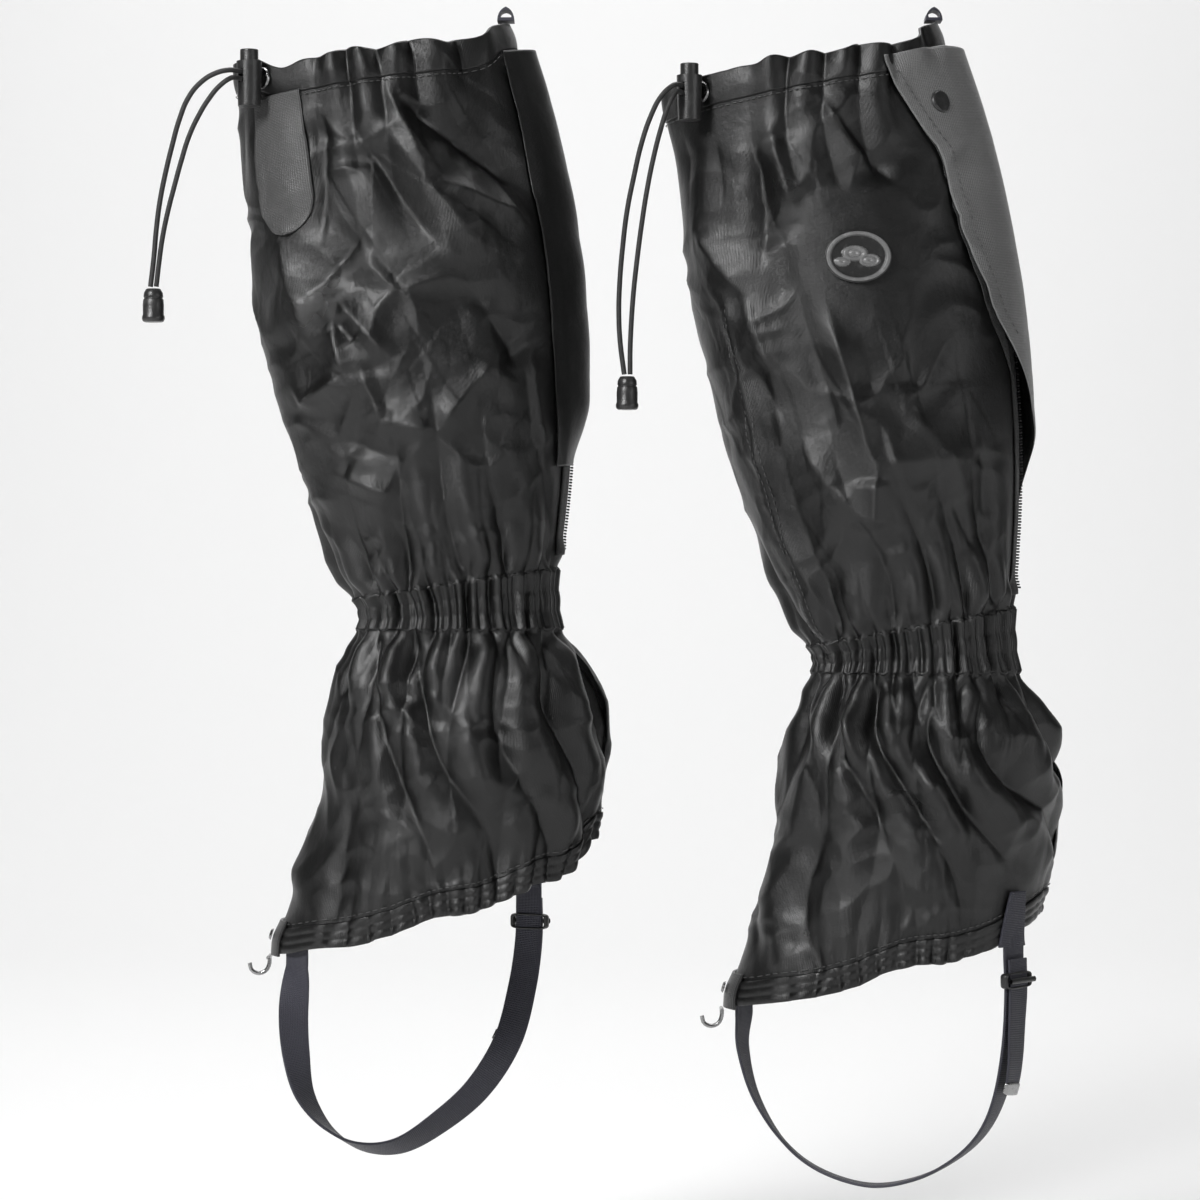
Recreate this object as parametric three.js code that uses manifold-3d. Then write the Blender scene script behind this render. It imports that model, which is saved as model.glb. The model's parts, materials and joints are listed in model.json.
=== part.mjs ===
// A pair of hiking gaiters, hung side by side from their rear loops and filled out as on a leg.
// Millimetres, +Z up. Toes point along -X, heels along +X. The origin is the top of the right
// gaiter's hanging loop. Angles run round a leg from 0 at the heel, 180 at the shin.
import * as THREE from 'three';
import Module from 'manifold-3d';
import { mergeVertices } from 'three/addons/utils/BufferGeometryUtils.js';
import { LoftGeometry } from 'three/addons/geometries/LoftGeometry.js';

const wasm = await Module();
wasm.setup();

// ---- driving dimensions ----
const gap = 0.3;                  // between neighbours that touch
const shellWall = 1.0;            // coated cloth with its lining and seams
const bandWall = 2.0;             // elastic bands and the cord channel
const bandHeight = 22;            // ankle elastic
const hemHeight = 12;             // elastic at the lower edge
const channelHeight = 14;         // cord channel at the top edge
const loopSpacing = 205;          // between the two hanging loops
const topDepth = 70;              // shin side of the leg axis at the top edge
const calfDepth = 78;             // shin side of the leg axis at the calf
const ankleDepth = 48;            // both sides of the leg axis at the ankle
const heelTop = 62;               // heel side of the leg axis at the top edge
const heelBow = 16.5;             // how far the heel seam bows out between ankle and top
const bellDepth = 66;             // both sides of the axis below the ankle
const toeReach = 91;              // shin side of the axis at the front corner of the hem
const topHalfWidth = 46;
const calfHalfWidth = 53;
const ankleHalfWidth = 40;
const bellHalfWidth = 50;
const hemHalfWidth = 47;
const zipWidth = 26;
const toothWidth = 5.4;
const toothHeight = 1.6;
const tapeWall = 0.6;
const flapWall = 1.2;
const flapRoom = 9.4;             // under the middle of the flap, for the slider and its pull
const flapEdgeRoom = 1.6;         // under its edges, for the hook and loop strips
const strapWidth = 14;
const strapWall = 1.6;
const strapDrop = 8;              // from the hem's edge to the strap's ends
const cordDiameter = 2.4;
const cordPitch = 3.4;            // between the two strands in the lock
const lockRadius = 6;
const lockAbove = 7;              // lock body over the middle of its cord passage
const lockBelow = 14;             // and under it, where the spring stands
const lockFloor = 1.6;
const lockBore = 4.6;
const buttonTravel = 4;
const hookWire = 2.0;

// ---- one entry for each gaiter ----
const gaiters = [
  {
    side: 'right', loopX: 0, lean: 7.6, outer: 1,
    upperHeight: 266, peak: 12, shinRise: 9, hemFront: 162, hemMiddle: 144, hemRear: 107,
    outerStrand: [[-127.5, -46.5, -37], [-133.5, -47.3, -38.6], [-140, -47, -42.5], [-146, -46.5, -49.5],
      [-150.5, -46, -60], [-154, -45, -72], [-157.3, -44, -85], [-160, -43, -98],
      [-161.8, -42, -111], [-163, -41.5, -124], [-164.6, -41.3, -137.5]],
    innerStrand: [[-126.5, -46.8, -40.8], [-131.5, -47.6, -44.5], [-136.5, -47.6, -50.5],
      [-141.5, -47, -58.5], [-146, -46.4, -68], [-149.6, -45.6, -79], [-153, -44.8, -91],
      [-156.2, -44, -103], [-158.8, -43, -115], [-160.6, -42, -127], [-161.9, -41.3, -137.5]],
    cordEnd: [-163.25, -41.3, -138],
    strapFront: 207, strapRear: 56,
    strapStops: [[-78, -192, 8], [-77, -212, 30], [-73, -232, 60], [-62, -249, 90],
      [-47, -259, 112], [-29, -260, 130], [-10, -250, 145], [8, -235, 158], [22, -213, 172],
      [29, -187, 188], [32, -164, 200]],
    strapFrontTurn: -40, strapRearTurn: 208,
    tailFrom: 0.72, tailSide: 1,
  },
  {
    side: 'left', loopX: loopSpacing, lean: 9.6, outer: -1,
    upperHeight: 287, peak: 12, shinRise: 0, hemFront: 166, hemMiddle: 145, hemRear: 122,
    outerStrand: [[79, -46.5, -44.5], [74, -47.2, -49.5], [69.5, -46.8, -58], [65, -46, -71],
      [61.5, -45, -86], [58.3, -44, -102], [56.2, -43, -119], [54.8, -42, -136], [54.4, -41.4, -150],
      [55, -41.3, -163], [56.95, -41.3, -178.5]],
    innerStrand: [[80.2, -46.8, -48.2], [77, -47.6, -55], [73.8, -47.4, -65], [70.5, -46.8, -78],
      [67.5, -46, -93], [65, -45, -109], [62.8, -44.2, -126], [61.2, -43.4, -141],
      [60.2, -42.6, -155], [59.7, -41.8, -167], [59.65, -41.3, -178.5]],
    cordEnd: [58.3, -41.3, -179],
    strapFront: 160, strapRear: -40,
    strapStops: [[-82, -193, 66], [-76, -216, 78], [-63, -237, 90], [-46, -250, 92],
      [-23, -256, 94], [-2, -252, 98], [16, -242, 104], [29, -229, 112], [37, -212, 120],
      [42, -188, 128], [44, -163, 134]],
    strapFrontTurn: 54, strapRearTurn: 136,
    tailFrom: 0.74, tailSide: -1,
  },
];

// ---- materials ----
const finish = (color, roughness, metalness = 0) =>
  new THREE.MeshStandardMaterial({ color, roughness, metalness });
const nylon = () => finish(0x1b1c1e, 0.5);
const greyNylon = () => finish(0x4a4c4f, 0.6);
const elastic = () => finish(0x151618, 0.8);
const webbing = () => finish(0x22242c, 0.7);
const plastic = () => finish(0x17181a, 0.4);
const nickel = () => finish(0xb9babc, 0.3, 1);

const group = new THREE.Group();

function addPiece(gaiter, name, geometry, material) {
  const mesh = new THREE.Mesh(geometry, material);
  mesh.name = `${gaiter.side}_${name}`;
  group.add(mesh);
  return mesh;
}

// ---- booleans ----
function toManifold(geometry) {
  const bare = geometry.clone();
  bare.deleteAttribute('normal');
  bare.deleteAttribute('uv');
  const merged = mergeVertices(bare, 1e-4);
  return new wasm.Manifold(new wasm.Mesh({
    numProp: 3,
    vertProperties: new Float32Array(merged.attributes.position.array),
    triVerts: new Uint32Array(merged.index.array),
  }));
}

function fromManifold(solid) {
  const mesh = solid.getMesh();
  const geometry = new THREE.BufferGeometry();
  geometry.setAttribute('position', new THREE.BufferAttribute(mesh.vertProperties, 3));
  geometry.setIndex(new THREE.BufferAttribute(mesh.triVerts, 1));
  return geometry;
}

function cut(body, ...tools) {
  return fromManifold(tools.reduce((solid, tool) => solid.subtract(toManifold(tool)), toManifold(body)));
}

function join(body, ...others) {
  return fromManifold(others.reduce((solid, other) => solid.add(toManifold(other)), toManifold(body)));
}

// ---- the leg's shape ----
function outline(points) {
  const heights = points.map((point) => point[0]);
  const offsets = points.map((point) => point[1]);
  const spline = new THREE.CubicInterpolant(heights, offsets, 1);
  return (height) => spline.evaluate(THREE.MathUtils.clamp(height, heights[0], heights.at(-1)))[0];
}

// The heel seam is one arc from the ankle band to the top edge, so that the zip runs on a circle.
function heelArc(gaiter) {
  const low = new THREE.Vector2(ankleDepth - 1, bandHeight / 2);
  const high = new THREE.Vector2(heelTop, gaiter.upperHeight);
  const chord = low.distanceTo(high);
  const radius = chord ** 2 / (8 * heelBow) + heelBow / 2;
  const along = high.clone().sub(low).normalize();
  const inward = new THREE.Vector2(-along.y, along.x);
  const centre = low.clone().add(high).multiplyScalar(0.5).addScaledVector(inward, radius - heelBow);
  return { radius, centre };
}

function shape(gaiter) {
  const top = gaiter.upperHeight;
  const ankle = bandHeight / 2;
  const arc = heelArc(gaiter);
  const shin = outline([[-170, toeReach + 1], [-150, toeReach - 5], [-122, bellDepth + 10],
    [-95, bellDepth], [-55, bellDepth - 4], [-25, ankleDepth + 8], [-ankle, ankleDepth + 1],
    [ankle, ankleDepth], [top * 0.14, ankleDepth + 11], [top * 0.28, calfDepth - 11],
    [top * 0.45, calfDepth - 2], [top * 0.66, calfDepth], [top * 0.85, calfDepth - 3],
    [top + 30, topDepth]]);
  const lowHeel = outline([[-170, 44], [-132, bellDepth - 12], [-105, bellDepth - 3],
    [-75, bellDepth + 1], [-45, bellDepth], [-22, ankleDepth + 9], [-ankle, ankleDepth],
    [ankle, ankleDepth - 1]]);
  const heel = (height) => (height < ankle ? lowHeel(height)
    : arc.centre.x + Math.sqrt(arc.radius ** 2 - (height - arc.centre.y) ** 2));
  const side = outline([[-170, hemHalfWidth], [-120, hemHalfWidth + 2], [-60, bellHalfWidth],
    [-25, ankleHalfWidth + 5], [-ankle, ankleHalfWidth], [ankle, ankleHalfWidth],
    [top * 0.14, ankleHalfWidth + 5], [top * 0.4, calfHalfWidth], [top * 0.66, calfHalfWidth],
    [top + 30, topHalfWidth]]);
  return { shin, heel, side, arc };
}

// Places a point given as (towards the heel, across, along the leg axis) in the pair's frame.
// The leg axis is upright below the ankle band and leans towards the toes above it.
function placeOnAxis(gaiter, along, across, height) {
  const lean = THREE.MathUtils.degToRad(gaiter.lean);
  const half = bandHeight / 2;
  const turn = lean * THREE.MathUtils.clamp((height + half) / bandHeight, 0, 1);
  let x = 0;
  let z = height;
  if (height > -half) {
    const bent = Math.min(height, half) + half;
    x = -Math.sin(turn / 2) * bent;
    z = -half + Math.cos(turn / 2) * bent;
  }
  if (height > half) {
    x -= Math.sin(lean) * (height - half);
    z += Math.cos(lean) * (height - half);
  }
  return new THREE.Vector3(x + along * Math.cos(turn), across, z + along * Math.sin(turn));
}

// A point on the cloth's outer face, lifted off it by lift.
function skin(gaiter, height, degrees, lift = 0) {
  const angle = THREE.MathUtils.degToRad(degrees);
  const { shin, heel, side } = gaiter.shape;
  const reach = Math.cos(angle) > 0 ? heel(height) : shin(height);
  const halfWidth = side(height);
  const normal = new THREE.Vector2(Math.cos(angle) / reach, Math.sin(angle) / halfWidth).normalize();
  const along = reach * Math.cos(angle) + normal.x * lift;
  const across = halfWidth * Math.sin(angle) + normal.y * lift;
  return placeOnAxis(gaiter, along, across, height).add(gaiter.ankle);
}

// Turns and moves a piece modelled flat, +Z out of the cloth and +Y up the leg, onto the cloth.
function seatOn(gaiter, mesh, height, degrees, lift) {
  const foot = skin(gaiter, height, degrees, 0);
  const up = skin(gaiter, height + 1, degrees).sub(skin(gaiter, height - 1, degrees)).normalize();
  const round = skin(gaiter, height, degrees + 1).sub(skin(gaiter, height, degrees - 1));
  const out = round.cross(up).normalize();
  const right = new THREE.Vector3().crossVectors(up, out);
  mesh.quaternion.setFromRotationMatrix(new THREE.Matrix4().makeBasis(right, up, out));
  mesh.position.copy(foot).addScaledVector(out, lift);
  return mesh;
}

// A tube of cloth between two edges, each a function of the angle round the leg.
function clothTube(gaiter, lowEdge, highEdge, wall, rows, outset = 0) {
  const columns = 32;
  const ringAt = (share, lift) => Array.from({ length: columns }, (_, index) => {
    const degrees = (index / columns) * 360;
    const height = THREE.MathUtils.lerp(lowEdge(degrees), highEdge(degrees), share);
    return skin(gaiter, height, degrees, lift);
  });
  const shares = Array.from({ length: rows + 1 }, (_, index) => index / rows);
  const outside = shares.map((share) => ringAt(share, outset));
  const inside = shares.map((share) => ringAt(share, outset - wall)).reverse();
  return new LoftGeometry([...outside, ...inside, outside[0]]);
}

// A strip of cloth lying on the shell. edges(height) gives its two edges in degrees.
function clothPatch(gaiter, low, high, edges, lift, wall, rows, columns) {
  const liftAt = typeof lift === 'function' ? lift : () => lift;
  const sections = Array.from({ length: rows + 1 }, (_, row) => {
    const height = THREE.MathUtils.lerp(low, high, row / rows);
    const [from, to] = edges(height);
    const angles = Array.from({ length: columns + 1 }, (_, index) =>
      THREE.MathUtils.lerp(from, to, index / columns));
    const face = (extra) => angles.map((degrees) =>
      skin(gaiter, height, degrees, liftAt(degrees) + extra));
    return [...face(wall), ...face(0).reverse()];
  });
  return new LoftGeometry(sections, { capStart: true, capEnd: true });
}

// ---- edges ----
const closeness = (degrees, centre, reach) => {
  const away = Math.abs(THREE.MathUtils.euclideanModulo(degrees - centre + 180, 360) - 180);
  return away > reach ? 0 : 0.5 + 0.5 * Math.cos((away / reach) * Math.PI);
};

const topEdge = (gaiter) => (degrees) => gaiter.upperHeight
  + gaiter.peak * closeness(degrees, 0, 60) + gaiter.shinRise * closeness(degrees, 180, 60);

const hemEdge = (gaiter) => (degrees) => {
  const heelward = Math.cos(THREE.MathUtils.degToRad(degrees));
  const rise = gaiter.hemMiddle - gaiter.hemRear;
  if (heelward < 0) return -gaiter.hemMiddle + (gaiter.hemFront - gaiter.hemMiddle) * heelward;
  return -gaiter.hemMiddle + rise * (0.52 * heelward + 0.48 * heelward ** 4);
};

const above = (edge, distance) => (degrees) => edge(degrees) + distance;

// ---- cloth ----
function addShells(gaiter) {
  const half = bandHeight / 2;
  const top = topEdge(gaiter);
  const hem = hemEdge(gaiter);
  addPiece(gaiter, 'calf_shell',
    clothTube(gaiter, () => half + gap, above(top, -channelHeight - gap), shellWall, 12), nylon());
  addPiece(gaiter, 'cord_channel',
    clothTube(gaiter, above(top, -channelHeight), top, bandWall, 2, 0.5), nylon());
  addPiece(gaiter, 'ankle_elastic',
    clothTube(gaiter, () => -half, () => half, bandWall, 3, 0.5), elastic());
  addPiece(gaiter, 'foot_shell',
    clothTube(gaiter, above(hem, hemHeight + gap), () => -half - gap, shellWall, 7), nylon());
  addPiece(gaiter, 'hem_elastic',
    clothTube(gaiter, hem, above(hem, hemHeight), bandWall, 2, 0.5), elastic());
}

function addHangingLoop(gaiter) {
  const width = 10;
  const wall = 1.5;
  const foot = skin(gaiter, topEdge(gaiter)(0), 0, -bandWall / 2 + 0.5);
  const rise = -foot.z - gap;
  const outside = new THREE.Shape();
  outside.moveTo(-rise * 0.62, 0);
  outside.quadraticCurveTo(-rise * 0.6, rise * 0.75, 0, rise);
  outside.quadraticCurveTo(rise * 0.6, rise * 0.75, rise * 0.62, 0);
  outside.closePath();
  const window = new THREE.Path();
  window.moveTo(-rise * 0.62 + wall, wall);
  window.lineTo(rise * 0.62 - wall, wall);
  window.quadraticCurveTo(rise * 0.52, rise * 0.68, 0, rise - wall);
  window.quadraticCurveTo(-rise * 0.52, rise * 0.68, -rise * 0.62 + wall, wall);
  outside.holes.push(window);
  const geometry = new THREE.ExtrudeGeometry(outside, { depth: width, bevelEnabled: false, curveSegments: 5 });
  geometry.translate(0, 0, -width / 2);
  geometry.rotateX(Math.PI / 2);
  const loop = addPiece(gaiter, 'hanging_loop', geometry, webbing());
  loop.position.set(foot.x, 0, foot.z + gap);
}

// ---- rear closure ----
const zipLow = bandHeight / 2 + 6;
const zipTopMargin = channelHeight + 6;
const sliderLength = 11;

function addZip(gaiter) {
  const high = gaiter.upperHeight - zipTopMargin;
  const spread = (width) => (height) => {
    const half = THREE.MathUtils.radToDeg(Math.asin(width / 2 / gaiter.shape.side(height)));
    return [-half, half];
  };
  addPiece(gaiter, 'zip_tape',
    clothPatch(gaiter, zipLow, high, spread(zipWidth), gap, tapeWall, 10, 4), elastic());
  addPiece(gaiter, 'zip_teeth',
    clothPatch(gaiter, zipLow + 3, high - 3, spread(toothWidth), tapeWall + 2 * gap, toothHeight, 12, 2),
    plastic());
  addSlider(gaiter, high - 5 - sliderLength / 2);
}

function addSlider(gaiter, height) {
  const cheek = 1.4;
  const inner = toothWidth / 2 + 0.5;
  const depth = toothHeight + 2 * gap + 0.4;
  const profile = new THREE.Shape();
  profile.moveTo(-inner - cheek, 0);
  profile.lineTo(-inner, 0);
  profile.lineTo(-inner, depth);
  profile.lineTo(inner, depth);
  profile.lineTo(inner, 0);
  profile.lineTo(inner + cheek, 0);
  profile.lineTo(inner + cheek, depth + cheek);
  profile.lineTo(-inner - cheek, depth + cheek);
  profile.closePath();
  const geometry = new THREE.ExtrudeGeometry(profile, { depth: sliderLength, bevelEnabled: false });
  geometry.translate(0, 0, -sliderLength / 2);
  geometry.rotateX(Math.PI / 2);
  const slider = addPiece(gaiter, 'zip_slider', geometry, nickel());
  seatOn(gaiter, slider, height, 0, tapeWall + 2 * gap);

  const pullLength = 11;
  const pull = new THREE.Shape();
  pull.moveTo(-1.6, 1.5);
  pull.lineTo(-2.4, -pullLength + 2.4);
  pull.absarc(0, -pullLength + 2.4, 2.4, Math.PI, 2 * Math.PI, false);
  pull.lineTo(1.6, 1.5);
  pull.closePath();
  const eye = new THREE.Path();
  eye.absarc(0, -pullLength + 2.6, 1.1, 0, 2 * Math.PI, true);
  pull.holes.push(eye);
  const plate = new THREE.ExtrudeGeometry(pull, { depth: 1, bevelEnabled: false, curveSegments: 5 });
  const tab = addPiece(gaiter, 'zip_pull', plate, nickel());
  seatOn(gaiter, tab, height, 0, tapeWall + 3 * gap + depth + cheek);
}

// The flap is sewn on at the inner side of the heel and closes over to the outer side.
const flapSeam = 22;              // degrees from the heel on the inner side
const flapLowShare = 0.22;        // of the upper's height, where the flap's low end is
const flapLowWrap = 24;           // degrees from the heel on the outer side, at the low end
const flapHighWrap = 52;          // the same at the high end

function flapSpan(gaiter) {
  return { low: gaiter.upperHeight * flapLowShare, high: gaiter.upperHeight - channelHeight - 5 };
}

function addFlap(gaiter) {
  const { low, high } = flapSpan(gaiter);
  const wrap = (height) => THREE.MathUtils.mapLinear(height, low, high, flapLowWrap, flapHighWrap);
  const edges = (height) => (gaiter.outer > 0
    ? [-flapSeam, wrap(height)] : [-wrap(height), flapSeam]);
  const lift = (degrees) => flapEdgeRoom + (flapRoom - flapEdgeRoom) * closeness(degrees, 0, 20);
  addPiece(gaiter, 'storm_flap', clothPatch(gaiter, low, high, edges, lift, flapWall, 10, 16), greyNylon());

  const stripLow = low + 8;
  const stripHigh = high - 26;
  const stripEdges = (height) => {
    const far = wrap(height) - 1;
    return gaiter.outer > 0 ? [far - 7, far] : [-far, 7 - far];
  };
  addPiece(gaiter, 'hook_strip',
    clothPatch(gaiter, stripLow, stripHigh, stripEdges, 0.95, 0.4, 10, 3), elastic());
  addPiece(gaiter, 'loop_strip',
    clothPatch(gaiter, stripLow, stripHigh, stripEdges, gap, 0.4, 10, 3), elastic());

  const cap = new THREE.CylinderGeometry(5, 5.6, 1.6, 20).rotateX(Math.PI / 2).translate(0, 0, 0.8);
  seatOn(gaiter, addPiece(gaiter, 'snap_cap', cap, nickel()),
    high - 12, gaiter.outer * (wrap(high - 12) - 8), flapEdgeRoom + flapWall + 2 * gap);
  const stud = new THREE.CylinderGeometry(3.4, 3.4, 0.6, 16).rotateX(Math.PI / 2).translate(0, 0, 0.3);
  seatOn(gaiter, addPiece(gaiter, 'snap_stud', stud, nickel()),
    high - 12, gaiter.outer * (wrap(high - 12) - 8), gap + 0.1);
}

// ---- drawcord ----
const lockAngle = 218;
const eyeletWall = 1.2;
const lockStandOff = 9.5;         // from the channel's face to the middle of the lock
const strandStraight = 19;        // from the channel's face to the end of the strands' straight part

function lockFrame(gaiter) {
  const height = topEdge(gaiter)(lockAngle) - channelHeight / 2;
  const foot = skin(gaiter, height, lockAngle, 0.5);
  const out = skin(gaiter, height, lockAngle, 1.5).sub(foot);
  out.z = 0;
  out.normalize();
  return { foot, out, centre: foot.clone().addScaledVector(out, lockStandOff) };
}

function addCordLock(gaiter) {
  const { foot, out, centre } = lockFrame(gaiter);
  const ring = new THREE.LatheGeometry([
    new THREE.Vector2(3.4, 0), new THREE.Vector2(5.4, 0), new THREE.Vector2(5.0, eyeletWall),
    new THREE.Vector2(3.6, eyeletWall), new THREE.Vector2(3.4, 0)], 20);
  const eyelet = addPiece(gaiter, 'eyelet', ring.rotateX(Math.PI / 2), nickel());
  eyelet.quaternion.setFromUnitVectors(new THREE.Vector3(0, 0, 1), out);
  eyelet.position.copy(foot).addScaledVector(out, 1.4);

  const turn = Math.atan2(out.y, out.x);
  const slotWidth = cordDiameter + 2 * gap;
  const slotHeight = cordPitch + cordDiameter + 2 * gap;
  const passage = (height, rise) =>
    new THREE.BoxGeometry(4 * lockRadius, slotWidth, height).translate(0, 0, rise);
  const upright = (lowRadius, highRadius, low, high) =>
    new THREE.CylinderGeometry(highRadius, lowRadius, high - low, 20).rotateX(Math.PI / 2)
      .translate(0, 0, (low + high) / 2);
  const barrel = upright(lockRadius - 0.7, lockRadius, -lockBelow, lockAbove);
  const bore = upright(lockBore, lockBore, lockFloor - lockBelow, lockAbove + 1);
  const body = addPiece(gaiter, 'cord_lock_body', cut(barrel, bore, passage(slotHeight, 0)), plastic());

  const buttonRadius = lockBore - gap;
  const buttonLow = -slotHeight / 2 - 1.6;
  const stem = upright(buttonRadius, buttonRadius, buttonLow, lockAbove + buttonTravel + 1.5);
  const button = addPiece(gaiter, 'cord_lock_button',
    cut(stem, passage(slotHeight + buttonTravel, buttonTravel / 2)), plastic());

  const springWire = 0.6;
  const springTurns = 4;
  const stepsPerTurn = 10;
  const springLow = lockFloor - lockBelow + gap + springWire / 2;
  const springHigh = buttonLow - gap - springWire / 2;
  const coil = Array.from({ length: springTurns * stepsPerTurn + 1 }, (_, index) => {
    const share = index / (springTurns * stepsPerTurn);
    const angle = share * springTurns * 2 * Math.PI;
    return new THREE.Vector3(3 * Math.cos(angle), 3 * Math.sin(angle),
      THREE.MathUtils.lerp(springLow, springHigh, share));
  });
  const spring = addPiece(gaiter, 'cord_lock_spring',
    roundTube(coil, springWire, 5, springTurns * stepsPerTurn), nickel());
  for (const piece of [body, button, spring]) {
    piece.rotation.z = turn;
    piece.position.copy(centre);
  }
}

// A round tube along a smooth curve through the points.
function roundTube(points, diameter, sides, steps) {
  const section = new THREE.Shape();
  for (let side = 0; side < sides; side += 1) {
    const angle = (side / sides) * 2 * Math.PI;
    section[side ? 'lineTo' : 'moveTo'](diameter / 2 * Math.cos(angle), diameter / 2 * Math.sin(angle));
  }
  section.closePath();
  const extrudePath = new THREE.CatmullRomCurve3(points);
  return new THREE.ExtrudeGeometry(section, { steps, extrudePath, bevelEnabled: false });
}

function addCords(gaiter) {
  const { foot, out, centre } = lockFrame(gaiter);
  for (const [name, route, rise] of [['outer_strand', gaiter.outerStrand, cordPitch / 2],
    ['inner_strand', gaiter.innerStrand, -cordPitch / 2]]) {
    const start = [2, lockStandOff - 4, lockStandOff, lockStandOff + 4, strandStraight].map((distance) =>
      foot.clone().addScaledVector(out, distance).setZ(centre.z + rise));
    const rest = route.map((point) => new THREE.Vector3(...point));
    addPiece(gaiter, name, roundTube([...start, ...rest], cordDiameter, 8, 26), elastic());
  }
  const end = new THREE.Vector3(...gaiter.cordEnd);
  const profile = [[0, -16], [4.8, -16], [5.4, -14.5], [4.7, -5], [4.3, -2.5], [3, -gap], [0, -gap]]
    .map(([radius, height]) => new THREE.Vector2(radius, height));
  const body = new THREE.LatheGeometry(profile, 16).rotateX(Math.PI / 2);
  addPiece(gaiter, 'cord_end', body, plastic()).position.copy(end);
}

// ---- front corner ----
function addFrontCorner(gaiter) {
  const tabHalf = 9;              // degrees either side of the shin
  const low = -gaiter.hemFront - 1.5;
  const lift = 0.5 + gap;
  const tabWall = 2;
  const tabHeight = 17;
  addPiece(gaiter, 'hook_tab', clothPatch(gaiter, low, low + tabHeight,
    () => [180 - tabHalf, 180 + tabHalf], lift, tabWall, 2, 4), webbing());
  const rivet = new THREE.CylinderGeometry(2.2, 3, 1.2, 16).rotateX(Math.PI / 2).translate(0, 0, 0.6);
  seatOn(gaiter, addPiece(gaiter, 'hook_rivet', rivet, nickel()),
    low + tabHeight / 2, 180, lift + tabWall + gap);

  const pivot = hookPivot(gaiter);
  const bend = [[0, 0], [0, -3], [-1.5, -6.5], [-5, -8], [-8.5, -6.5], [-9.5, -3]]
    .map(([x, z]) => new THREE.Vector3(x, 0, z));
  const bar = new THREE.CylinderGeometry(hookWire / 2, hookWire / 2, strapWidth - 3, 12);
  const hook = addPiece(gaiter, 'lace_hook', join(bar, roundTube(bend, hookWire, 8, 12)), nickel());
  hook.position.copy(pivot);
}

function hookPivot(gaiter) {
  const low = -gaiter.hemFront - 1.5;
  return skin(gaiter, low, 180, 1.8).add(new THREE.Vector3(0, 0, -gap - hookWire / 2));
}

// ---- instep strap ----
// The strap hangs in the upright plane through its two ends: one inside the hem at the inner
// side of the toes, one outside it at the outer side of the heel.
function strapEnds(gaiter) {
  const hem = hemEdge(gaiter);
  const inside = 0.5 - bandWall - gap - strapWall / 2;
  const outside = 0.5 + gap + strapWall;
  const drop = new THREE.Vector3(0, 0, -strapDrop);
  return [skin(gaiter, hem(gaiter.strapFront), gaiter.strapFront, inside - 1).add(drop),
    skin(gaiter, hem(gaiter.strapRear), gaiter.strapRear, outside).add(drop)];
}

function strapFrames(gaiter, from, to, count) {
  const [front, rear] = strapEnds(gaiter);
  const acrossAt = (x) => THREE.MathUtils.mapLinear(x, front.x, rear.x, front.y, rear.y);
  const stops = gaiter.strapStops.map(([x, z]) => {
    const stop = gaiter.ankle.clone().add(new THREE.Vector3(x, 0, z));
    return stop.setY(acrossAt(stop.x));
  });
  const route = new THREE.CatmullRomCurve3([front, ...stops, rear]);
  const turns = [gaiter.strapFrontTurn, ...gaiter.strapStops.map((stop) => stop[2]), gaiter.strapRearTurn];
  const across = new THREE.Vector3(0, 1, 0);
  return Array.from({ length: count + 1 }, (_, index) => {
    const share = THREE.MathUtils.lerp(from, to, index / count);
    const tangent = route.getTangent(share);
    const stretch = share * (turns.length - 1);
    const stop = Math.min(Math.floor(stretch), turns.length - 2);
    const turn = THREE.MathUtils.degToRad(
      THREE.MathUtils.lerp(turns[stop], turns[stop + 1], stretch - stop));
    const level = new THREE.Vector3().crossVectors(tangent, across).normalize();
    const width = level.multiplyScalar(Math.cos(turn)).addScaledVector(across, Math.sin(turn));
    const face = new THREE.Vector3().crossVectors(tangent, width).normalize();
    return { point: route.getPoint(share), tangent, width, face };
  });
}

function ribbon(frames, halfWidth, low, high) {
  const corners = [[-1, low], [1, low], [1, high], [-1, high]];
  const sections = frames.map(({ point, width, face }) => corners.map(([edge, rise]) =>
    point.clone().addScaledVector(width, edge * halfWidth).addScaledVector(face, rise)));
  return new LoftGeometry(sections, { capStart: true, capEnd: true });
}

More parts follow.
